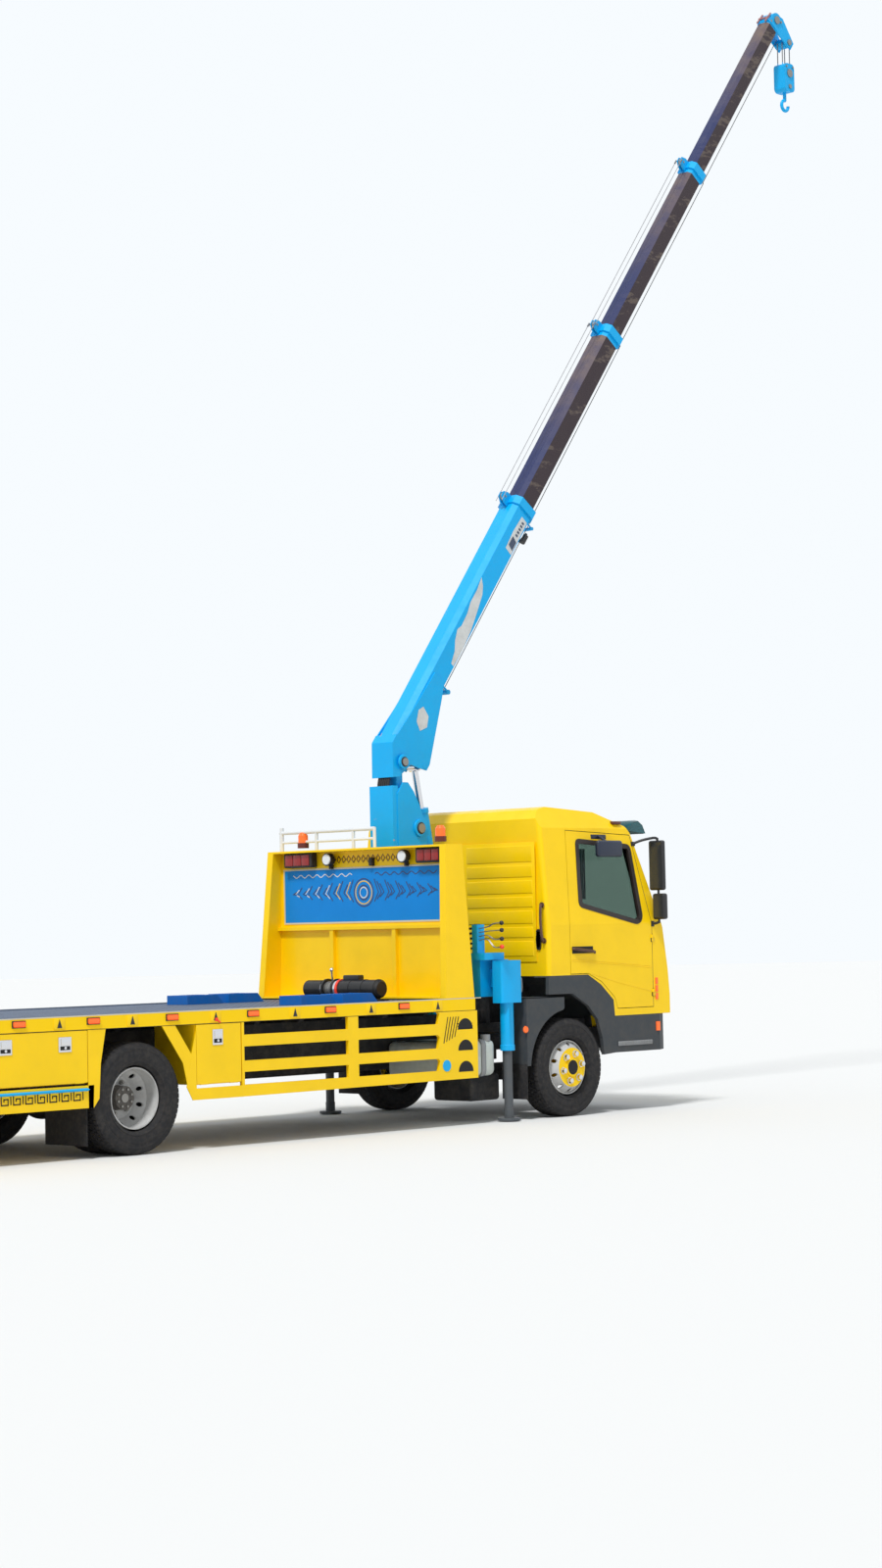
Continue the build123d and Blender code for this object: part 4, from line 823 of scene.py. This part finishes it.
# Levers of the crane's bank: four pairs of rods that end in black knobs, the lowest one red, and the hoses that
# run from the bank's back to the column
form, knobs, red = bmesh.new(), bmesh.new(), bmesh.new()
for index, (start_z, end_z) in enumerate(((1.625, 1.670), (1.590, 1.610), (1.556, 1.537), (1.522, 1.471))):
    for x in (-0.906, -0.894):
        sweep(form, ((x, -0.94, start_z), (x, -1.05, start_z + 0.012), (x, -1.13, end_z - 0.004), (x, -1.205, end_z)),
              0.004, 6, 4)
    ball(red if index == 3 else knobs, -0.900, -1.216, end_z, 0.019)
block(knobs, (-0.925, -0.955, 1.43), (-0.872, -0.915, 1.665), 0.006)
for index in range(5):
    pin(knobs, -0.90, -0.915, -0.885, 1.46 + index * 0.042, 0.014, 12)
finished("lever_rods", form, dull_steel, "root")
finished("lever_knobs", knobs, black_plastic, "root")
# The red knob glows a little: painted light
finished("lever_red_knob", red, red_lens_and_painted_glow, "root")
hoses = bmesh.new()
for index in range(5):
    z = 1.46 + index * 0.042
    sweep(hoses, ((-0.90, -0.885, z), (-0.905, -0.80, z - 0.01), (-0.94, -0.62 + 0.03 * index, z - 0.08),
                  (-0.95, -0.42, 1.42), (-0.93, -0.22, 1.40 + 0.01 * index)), 0.010, 8, 5)
finished("lever_hoses", hoses, rubber, "root")

# Outriggers: the CAD housings with their upright edges rounded, a collar low on each leg's housing, and a bent
# handle at the front
def copied(node):
    """A bmesh of a node's form, its flat faces whole."""
    form = bmesh.new()
    form.from_mesh(nodes[node].data)
    bmesh.ops.remove_doubles(form, verts=form.verts, dist=0.00002)
    bmesh.ops.dissolve_limit(form, angle_limit=math.radians(0.5), verts=form.verts, edges=form.edges)
    return form


for side, word in ((1, "left"), (-1, "right")):
    form, handle = bmesh.new(), bmesh.new()
    low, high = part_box(f"outrigger_beam_{word}")
    leg_x = -0.719
    leg_y = side * 1.086
    rod(form, (leg_x, leg_y, low.z + 0.002), (leg_x, leg_y, low.z + 0.045), 0.062, 28)
    rod(form, (leg_x, leg_y, low.z + 0.045), (leg_x, leg_y, low.z + 0.060), 0.062, 28, 0.05)
    finished(f"jack_collar_{word}", form, blue_paint, f"outrigger_{word}")
    outer = max(abs(low.y), abs(high.y)) * side
    front = high.x - front_axle_x
    sweep(handle, ((front - 0.004, outer - side * 0.05, 1.20), (front + 0.040, outer - side * 0.05, 1.195),
                   (front + 0.042, outer - side * 0.05, 1.09), (front - 0.004, outer - side * 0.05, 1.085)), 0.009, 8,
          4)
    housing = copied(f"outrigger_beam_{word}")
    upright = []
    for edge in housing.edges:
        way = edge.verts[0].co - edge.verts[1].co
        if way.length > 0.15 and abs(way.z) > 0.98 * way.length and edge.calc_face_angle(0) > math.radians(60):
            upright.append(edge)
    soften(housing, upright, 0.022, 4)
    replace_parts(finished(f"rounded_outrigger_{word}", housing, crane_paint, f"outrigger_{word}"),
                f"outrigger_beam_{word}")
    finished(f"outrigger_handle_{word}", handle, galvanised, f"outrigger_{word}")

# Side guards: portholes, slanted slits, and behind the rear wheels the strip with its meander, all dark insets on
# the sheet or a thin sheet of their own
meander_z = 0.436
# The portholes, slits and meander are painted shade seen through openings in the guard
dark, sheet, meander = bmesh.new(), bmesh.new(), bmesh.new()
for side in (1, -1):
    for z in (0.800, 0.624, 0.448):
        arc = [(-1.297 + 0.088 * math.cos(math.pi * i / 20),
                z + 0.088 * math.sin(math.pi * i / 20)) for i in range(21)]
        wedge(dark, side, arc, 1.1485, 1.1512)
    for index in range(5):
        x = -1.560 + index * 0.032
        wedge(dark, side, [(x, 0.690 + 0.012 * index), (x + 0.009, 0.690 + 0.012 * index), (x + 0.062, 0.905),
                           (x + 0.053, 0.905)], 1.1485, 1.1512)
    wedge(sheet, side, [(-4.291, 0.378), (-3.782, 0.378), (-3.782, 0.466), (-4.251, 0.466), (-4.251, 0.900),
                        (-4.300, 0.720), (-4.350, 0.480)], 1.144, 1.1502)
    wedge(sheet, side, [(-7.285, 0.378), (-5.255, 0.378), (-5.252, 0.442), (-5.247, 0.544), (-7.285, 0.544)], 1.144,
          1.150)
    wedge(sheet, side, [(-7.285, 0.544), (-6.570, 0.544), (-6.570, 0.940), (-7.285, 0.940)], 1.144, 1.150)
    for index in range(17):
        x = -5.335 - 0.11 * (index + 1)
        for x0, x1, z0, z1 in ((0.0, 0.009, 0.0, 0.070), (0.0, 0.070, 0.0, 0.009), (0.061, 0.070, 0.0, 0.050),
                               (0.024, 0.070, 0.041, 0.050), (0.024, 0.033, 0.026, 0.050),
                               (0.086, 0.095, 0.004, 0.064)):
            wedge(meander, side, [(x + x0, meander_z + z0), (x + x1, meander_z + z0), (x + x1, meander_z + z1),
                                  (x + x0, meander_z + z1)], 1.1498, 1.1515)
finished("guard_portholes", dark, seam_dark_and_painted_shade, "root")
finished("rear_strip", sheet, yellow_paint, "root")
finished("rear_meander", meander, seam_dark_and_painted_shade, "root")

# Mud guards, tank and lower boxes: rubber flaps with their brackets behind the rear wheels, a boxed grey guard with
# a wheel arch and a marker lamp behind each front wheel, and the pale tank with its straps and cap
grey_plastic = painted("grey_plastic", (0.050, 0.057, 0.064, 1.0), dust=0.3, roughness=0.5, coat=0.0)
arch_radius = 0.500
form, flaps, marker = bmesh.new(), bmesh.new(), bmesh.new()
for side in (1, -1):
    outline = [(-0.060, 1.030), (-0.536, 1.030), (-0.536, 0.455), (-0.499, 0.455)]
    for index in range(1, 12):
        angle = math.radians(176 - index * 7)
        outline.append((arch_radius * math.cos(angle), tyre_radius + arch_radius * math.sin(angle)))
    outline.append((-0.060, 0.930))
    wedge(form, side, outline, 1.143, 1.150)
    for (x0, z0), (x1, z1) in zip(outline[3:-1], outline[4:]):
        rows = [[form.verts.new(place(x, side * y, z)) for x, z in ((x0, z0), (x1, z1))] for y in (0.86, 1.150)]
        form.faces.new((rows[0][0], rows[0][1], rows[1][1], rows[1][0]))
    block(form, (-0.542, side * 0.86, 0.455), (-0.536, side * 1.150, 1.030), 0.0)
    block(form, (-0.542, side * 0.86, 1.024), (-0.060, side * 1.150, 1.030), 0.0)
    block(flaps, (-0.552, side * 0.86, 0.175), (-0.544, side * 1.150, 0.47), 0.002)
    pin(marker, -0.560, side * sheet_y, side * 1.160, 0.765, 0.030, 24, 0.026)
    block(flaps, (-5.290, side * 0.62, 0.095), (-5.282, side * 1.11, 0.56), 0.002)
    block(flaps, (-5.296, side * 0.40, 0.555), (-5.276, side * 1.11, 0.61), 0.004)
    block(flaps, (-0.560, side * 0.40, 0.70), (-0.536, side * 0.87, 0.74), 0.004)
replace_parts(finished("front_mud_guards", form, grey_plastic, "root"), "mud_guards")
finished("mud_flaps", flaps, tyre_rubber, "root")
finished("mud_guard_markers", marker, orange_lens_and_painted_glow, "root")

tank_paint = painted("tank_paint", (0.58, 0.63, 0.59, 1.0), dust=0.3, roughness=0.4, coat=0.1)
form, straps = bmesh.new(), bmesh.new()
block(form, (-1.50, -1.05, 0.392), (-0.82, -0.42, 0.695), 0.055, 5)
for x in (-1.36, -0.98):
    block(straps, (x - 0.022, -1.0545, 0.388), (x + 0.022, -0.42, 0.6995), 0.05, 5)
rod(straps, (-0.90, -1.0, 0.68), (-0.90, -1.0, 0.735), 0.042, 24)
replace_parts(finished("rounded_tank", form, tank_paint, "root"), "fuel_tank")
finished("tank_straps", straps, galvanised, "root")

# Cab: the CAD shell with its upright rear corners rounded, a dark lining inside and the same dark grey below as
# painted shade, and a thin panel with pressed ribs on its rear wall. The side skin leans in above the window's sill.
def skin_y(z):
    return 1.150 - max(0.0, z - 1.640) * 0.1131


cab_heart = place(0.5, 0, 1.9)
lining_and_shade_grey = (0.045, 0.047, 0.050, 1.0)
form = copied("cab_shell")
chosen = []
for edge in form.edges:
    if len(edge.link_faces) == 2 and edge.calc_face_angle(0) > math.radians(12):
        middle = (edge.verts[0].co + edge.verts[1].co) / 2
        x, y, z = middle.x - front_axle_x, abs(middle.y), middle.z
        long = edge.calc_length() > 0.12
        outer = all(face.normal.dot(face.calc_center_median() - cab_heart) > 0 for face in edge.link_faces)
        if long and outer and x < -0.13 and y > 0.93:
            chosen.append(edge)
soften(form, chosen, 0.035, 4)
bmesh.ops.connect_verts_nonplanar(form, angle_limit=math.radians(0.4), faces=form.faces)
rounded_cab = finished("rounded_cab", form, yellow_paint, "cab", 30)
rounded_cab.data.materials.append(tinted("cab_lining_and_shade", lining_and_shade_grey, 0.8))
for face in rounded_cab.data.polygons:
    face.use_smooth = face.area < 0.02
    inward = face.normal.dot(cab_heart - face.center) > 0.02 and face.center.z > 1.22
    # Faces low under and behind the cab take the dark grey as painted shade
    below = face.center.z < 1.24 and (abs(face.center.y) < 1.12 or abs(face.normal.y) < 0.7)
    if (inward or below) and face.center.x < cab_heart.x + 0.75:
        face.material_index = 1
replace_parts(rounded_cab, "cab_shell")

form = bmesh.new()
for low, high in ((2.19, 2.33), (2.06, 2.16), (1.92, 2.03), (1.80, 1.89), (1.66, 1.77), (1.54, 1.63), (1.38, 1.51)):
    for y0, y1 in ((-0.99, -0.22), (0.22, 0.99)):
        block(form, (-0.2625, y0, low), (-0.2535, y1, high), 0.0045, 3)
block(form, (-0.2615, -0.17, 1.38), (-0.2535, 0.17, 2.33), 0.004, 2)
block(form, (-0.2575, -1.02, 1.33), (-0.2505, 1.02, 2.36), 0.003, 2)
finished("cab_rear_ribs", form, yellow_paint, "cab")


def rounded(points, radius, steps=5):
    """The corners of a closed outline, each turned into a short arc."""
    line = []
    for i, corner in enumerate(points):
        corner = Vector(corner)
        before = (Vector(points[i - 1]) - corner).normalized()
        after = (Vector(points[(i + 1) % len(points)]) - corner).normalized()
        for step in range(steps + 1):
            t = step / steps
            line.append(((1 - t) ** 2) * (corner + before * radius) + 2 * t * (1 - t) * corner
                        + t ** 2 * (corner + after * radius))
    return line


def frame_band(form, side, points, inner, outer, lift, radius=0.045):
    """A closed flat band on the cab's side skin round an outline in x and z, from inside it to outside it."""
    line = rounded(points, radius)
    middle = sum(line, Vector((0, 0))) / len(line)
    rows = []
    for i, spot in enumerate(line):
        ahead = (line[(i + 1) % len(line)] - line[i - 1]).normalized()
        out = Vector((ahead.y, -ahead.x))
        if out.dot(spot - middle) < 0:
            out = -out
        pair = []
        for reach, rise in ((-inner, -0.030), (-inner, lift), (outer, lift), (outer, -0.002)):
            at = spot + out * reach
            pair.append(form.verts.new(place(at.x, side * (skin_y(at.y) + rise), at.y)))
        rows.append(pair)
    for i in range(len(rows)):
        near, far = rows[i], rows[(i + 1) % len(rows)]
        for k in range(3):
            form.faces.new((near[k], near[k + 1], far[k + 1], far[k]))


# Doors: yellow outside and dark inside, with brown seals round the glass, the handle in its dark recess, pressed
# crease lines and blue blinds behind the glass
door_paint, tree, shader, own, spot = opened(yellow_paint, "door_yellow")
parted = add(tree, "SeparateXYZ", {0: spot})
above = add(tree, "Math", {0: parted.outputs[2], 1: 1.640}, operation="SUBTRACT")
above = add(tree, "Math", {0: above.outputs[0], 1: 0.0}, operation="MAXIMUM")
depth = add(tree, "Math", {0: above.outputs[0], 1: 0.1131, 2: 0.020}, operation="MULTIPLY_ADD")
reach = add(tree, "Math", {0: parted.outputs[1]}, operation="ABSOLUTE")
total = add(tree, "Math", {0: reach.outputs[0], 1: depth.outputs[0]}, operation="ADD")
inside = add(tree, "Math", {0: total.outputs[0], 1: 1.150}, operation="LESS_THAN")
masked(tree, shader, inside, own, lining_and_shade_grey)
finish_nodes(door_paint, "cab_door_left", "cab_door_right")
window = ((0.186, 1.804), (0.940, 1.640), (1.000, 1.690), (0.930, 2.330), (0.229, 2.378))
seal_brown = tinted("seal_brown", (0.022, 0.014, 0.012, 1.0), 0.5)
for side, word, blind_y in ((1, "left", 1.032), (-1, "right", 1.030)):
    body = f"{word}_door"
    form, handle, crease, dark, blue = (bmesh.new() for _ in range(5))
    frame_band(form, side, window, 0.030, 0.012, 0.004)
    sweep(form, ((0.232, side * (skin_y(1.79) - 0.012), 1.79), (0.239, side * (skin_y(2.08) - 0.012), 2.08),
                 (0.252, side * (skin_y(2.37) - 0.012), 2.37)), 0.009, 6, 3)
    finished(f"window_seal_{word}", form, seal_brown, body)
    block(dark, (0.055, side * sheet_y, 1.392), (0.325, side * 1.154, 1.452), 0.002)
    finished(f"handle_recess_{word}", dark, seam_dark_and_painted_shade, body)
    sweep(handle, ((0.062, side * 1.150, 1.432), (0.080, side * 1.172, 1.430), (0.180, side * 1.178, 1.420),
                   (0.300, side * 1.172, 1.410), (0.318, side * 1.150, 1.408)), 0.013, 8, 4)
    pin(handle, 0.345, side * sheet_y, side * 1.157, 1.400, 0.014, 16)
    finished(f"door_handle_{word}", handle, tinted(f"handle_brown_{word}", (0.060, 0.018, 0.014, 1.0), 0.35), body)
    for points in (((0.045, 1.345), (0.60, 1.303), (1.105, 1.262)), ((0.045, 1.330), (0.60, 1.288), (1.105, 1.247)),
                   ((0.300, 1.215), (0.70, 1.120), (1.105, 1.040))):
        sweep(crease, [(x, side * 1.1485, z) for x, z in points], 0.0042, 6, 3)
    finished(f"door_creases_{word}", crease, yellow_paint, body)
    for index in range(6):
        x0 = 0.262 + index * 0.022
        block(blue, (x0, side * 1.02, 1.86), (x0 + 0.014, side * blind_y, 2.30), 0.005)
    finished(f"door_blind_{word}", blue, tinted(f"blind_navy_{word}", (0.012, 0.030, 0.085, 1.0), 0.8), body)

# Cab fittings that ride with it: grab handles behind the doors, round vents, step treads, roof and corner lamps
cab_back = -0.248
form, vent, steps, lamps, markers, white = (bmesh.new() for _ in range(6))
for side in (1, -1):
    sweep(form, ((-0.250, side * 1.088, 1.815), (-0.285, side * 1.102, 1.800), (-0.296, side * 1.108, 1.66),
                 (-0.285, side * 1.114, 1.525), (-0.250, side * 1.104, 1.510)), 0.0115, 10, 5)
    for y, z in ((1.088, 1.815), (1.104, 1.510)):
        rod(form, (cab_back, side * y, z), (-0.258, side * y, z), 0.024, 16)
    for index in range(7):
        rod(vent, (cab_back, side * 1.045, 1.455 + 0.022 * index), (-0.260, side * 1.045, 1.455 + 0.022 * index),
            0.030 - 0.002 * abs(index - 3), 20)
    block(steps, (0.630, side * 1.1505, 0.575), (1.090, side * 1.157, 0.615), 0.004)
    for index in range(22):
        rod(steps, (0.642 + index * 0.021, side * 1.156, 0.582), (0.642 + index * 0.021, side * 1.160, 0.608), 0.004,
            6)
    block(markers, (0.740, side * 0.955, 2.515), (0.850, side * 1.06, 2.545), 0.010, 3)
    for index in range(3):
        block(lamps, (1.152, side * 1.149, 0.965 + 0.068 * index), (1.186, side * 1.157, 1.022 + 0.068 * index), 0.003)
    rod(white, (1.400, side * 0.715, 0.695), (1.416, side * 0.715, 0.695), 0.066, 28, 0.060)
finished("grab_handles", form, tinted("handle_tube", (0.10, 0.045, 0.025, 1.0), 0.4), "cab")
finished("cab_vents", vent, black_plastic, "cab")
finished("step_treads", steps, galvanised, "cab")
finished("corner_lamps", lamps, orange_lens_and_painted_glow, "cab")
finished("roof_marker_lamps", markers, tinted("marker_amber", (0.10, 0.022, 0.010, 1.0), 0.3), "cab")
finished("headlamp_glasses", white, white_lens, "cab")
finish_nodes(grey_plastic, "cab_bumper", "cab_grille")
cab_lens, tree, shader, own, spot = opened(orange_lens_and_painted_glow, "cab_lamp_lenses")
parted = add(tree, "SeparateXYZ", {0: spot})
reach = add(tree, "Math", {0: parted.outputs[1]}, operation="ABSOLUTE")
in_front = add(tree, "Math", {0: reach.outputs[0], 1: 0.95}, operation="LESS_THAN")
masked(tree, shader, in_front, own, (0.10, 0.10, 0.11, 1.0))
glowing = shader.inputs["Emission Strength"].default_value
lit = add(tree, "Math", {0: 1.0, 1: in_front.outputs[0]}, operation="SUBTRACT")
strength = add(tree, "Math", {0: lit.outputs[0], 1: glowing}, operation="MULTIPLY")
link(tree, strength.outputs[0], shader, "Emission Strength")
finish_nodes(cab_lens, "cab_lamps")
interior_blue = painted("interior_fabric", (0.020, 0.030, 0.055, 1.0), dust=0.1, roughness=0.85, coat=0.0, grain=8.0)
finish_nodes(interior_blue, "cab_interior")

# Mirrors: two rounded heads on a post at each side, with an arm from the roof's edge and a bracket below. Their
# glasses face backwards.
form, glasses = bmesh.new(), bmesh.new()
for side in (1, -1):
    for x0, x1, inner, low, high in ((1.130, 1.176, 1.122, 1.930, 2.372), (1.130, 1.192, 1.155, 1.672, 1.902)):
        block(form, (x0, side * inner, low), (x1, side * 1.292, high), 0.020, 4)
        block(glasses, (1.1285, side * (inner + 0.016), low + 0.018), (1.1305, side * 1.276, high - 0.018), 0.0)
    rod(form, (1.152, side * 1.215, 1.640), (1.152, side * 1.215, 2.395), 0.011, 12)
    sweep(form, ((0.985, side * 1.070, 2.345), (1.04, side * 1.13, 2.375), (1.12, side * 1.200, 2.395),
                 (1.152, side * 1.215, 2.385)), 0.012, 8, 5)
    sweep(form, ((1.135, side * 1.147, 1.635), (1.145, side * 1.185, 1.640), (1.152, side * 1.215, 1.650)), 0.012, 8,
          5)
    block(form, (1.115, side * 1.1475, 1.610), (1.155, side * 1.1565, 1.660), 0.003)
    block(form, (0.958, side * 1.050, 2.325), (1.010, side * 1.080, 2.365), 0.005)
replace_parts(finished("mirror_heads", form, black_plastic, "cab"), "mirrors")
# The mirror glasses are near-black and only faintly metallic: a painted dark reflection
finished("mirror_glasses", glasses, tinted("mirror_glass", (0.05, 0.055, 0.06, 1.0), 0.15, 0.3), "cab")
form = bmesh.new()
block(form, (0.375, -1.205, 2.225), (0.700, -1.150, 2.370), 0.024, 4)
rod(form, (0.53, -1.155, 2.36), (0.53, -1.058, 2.415), 0.012, 12)
block(form, (0.43, -1.068, 2.385), (0.63, -1.050, 2.425), 0.005)
finished("kerb_mirror", form, tinted("mirror_navy", (0.012, 0.020, 0.045, 1.0), 0.35), "right_door")

# Sun visor: a bent smoked sheet over the windscreen, closed at both ends, on three stays
smoke, tree, shader = blank("smoke_visor")
shader.inputs["Base Color"].default_value = (0.010, 0.110, 0.130, 1.0)
shader.inputs["Roughness"].default_value = 0.12
shader.inputs["Transmission Weight"].default_value = 0.35
visor_line = ((1.012, 2.462), (1.028, 2.518), (1.082, 2.554), (1.150, 2.562), (1.214, 2.522), (1.258, 2.440))
form, stays = bmesh.new(), bmesh.new()
middle = Vector((1.130, 2.470))
inner_line = [Vector(p) + (middle - Vector(p)) * 0.06 for p in visor_line]
sections = []
for y in (-1.0, -0.96, -0.5, 0.0, 0.5, 0.96, 1.0):
    drop = 0.90 if abs(y) == 1.0 else 1.0
    rows = [form.verts.new(place(middle.x + (x - middle.x) * drop, y, middle.y + (z - middle.y) * drop))
            for x, z in list(visor_line) + [tuple(p) for p in inner_line[::-1]]]
    sections.append(rows)
for near, far in zip(sections, sections[1:]):
    for k in range(len(near)):
        form.faces.new((near[k], near[(k + 1) % len(near)], far[(k + 1) % len(near)], far[k]))
form.faces.new(sections[0][::-1])
form.faces.new(sections[-1])
for y in (-1.0, 1.0):
    end = [form.verts.new(place(middle.x + (x - middle.x) * 0.9, y * 0.999, middle.y + (z - middle.y) * 0.9))
           for x, z in visor_line]
    form.faces.new(end)
for y in (-0.80, 0.0, 0.80):
    block(stays, (0.905, y - 0.012, 2.452), (1.030, y + 0.012, 2.474), 0.003)
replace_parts(finished("visor_sheet", form, smoke, "cab", 50), "sun_visor")
finished("visor_stays", stays, black_plastic, "cab")

# Front face: two pairs of wiper arms and blades, and a blank plate
form, dark = bmesh.new(), bmesh.new()
for y in (-0.62, 0.10):
    sweep(form, ((1.268, y, 1.655), (1.262, y + 0.22, 1.70), (1.245, y + 0.50, 1.755)), 0.008, 6, 4)
    sweep(form, ((1.262, y + 0.05, 1.69), (1.243, y + 0.42, 1.765), (1.236, y + 0.62, 1.790)), 0.006, 6, 4)
finished("wipers", form, black_plastic, "cab")
block(dark, (1.400, -0.27, 0.490), (1.410, 0.27, 0.610), 0.003)
finished("front_plate", dark, white_paint, "cab")

# Rear end: three-colour lamp clusters, a blank plate with its lamp, red reflectors, and striped end boards
rear_face = -7.2885
red, amber, white, plate, board = (bmesh.new() for _ in range(5))
for side in (1, -1):
    for target, near, far in ((amber, 0.985, 1.050), (red, 0.860, 0.975), (white, 0.790, 0.850), (red, 0.710, 0.780)):
        block(target, (rear_face - 0.009, side * near, 0.640), (rear_face, side * far, 0.722), 0.003)
    block(red, (rear_face - 0.009, side * 0.36, 0.455), (rear_face, side * 0.46, 0.495), 0.003)
    for index in range(4):
        y0, y1 = side * (0.55 + index * 0.15), side * (0.55 + index * 0.15 + 0.075)
        rows = [board.verts.new(place(-7.3005, y, z)) for y, z in ((y0, 0.93), (y1, 0.93), (y1 + side * 0.06, 1.035),
                                                                  (y0 + side * 0.06, 1.035))]
        board.faces.new(rows)
block(plate, (-7.2965, -0.26, 0.530), (-7.2900, 0.26, 0.645), 0.002)
block(plate, (-7.2900, -0.05, 0.500), (-7.2800, 0.05, 0.600), 0.002)
# The red lamps' mesh also holds two red reflectors; these and the striped end boards glow a little as painted light
finished("rear_red_lamps", red, red_lens_and_painted_glow, "root")
finished("rear_amber_lamps", amber, orange_lens_and_painted_glow, "root")
finished("rear_white_lamps", white, white_lens, "root")
finished("rear_plate", plate, white_paint, "root")
finished("rear_stripes", board, red_lens_and_painted_glow, "root")

# Glass: green-tinted and clear, so that the dark cab shows behind it
glass, tree, shader = blank("green_glass")
shader.inputs["Base Color"].default_value = (0.30, 0.38, 0.34, 1.0)
shader.inputs["Roughness"].default_value = 0.02
shader.inputs["Transmission Weight"].default_value = 1.0
shader.inputs["IOR"].default_value = 1.15
finish_nodes(glass, "cab_glass", "door_glass_left", "door_glass_right")
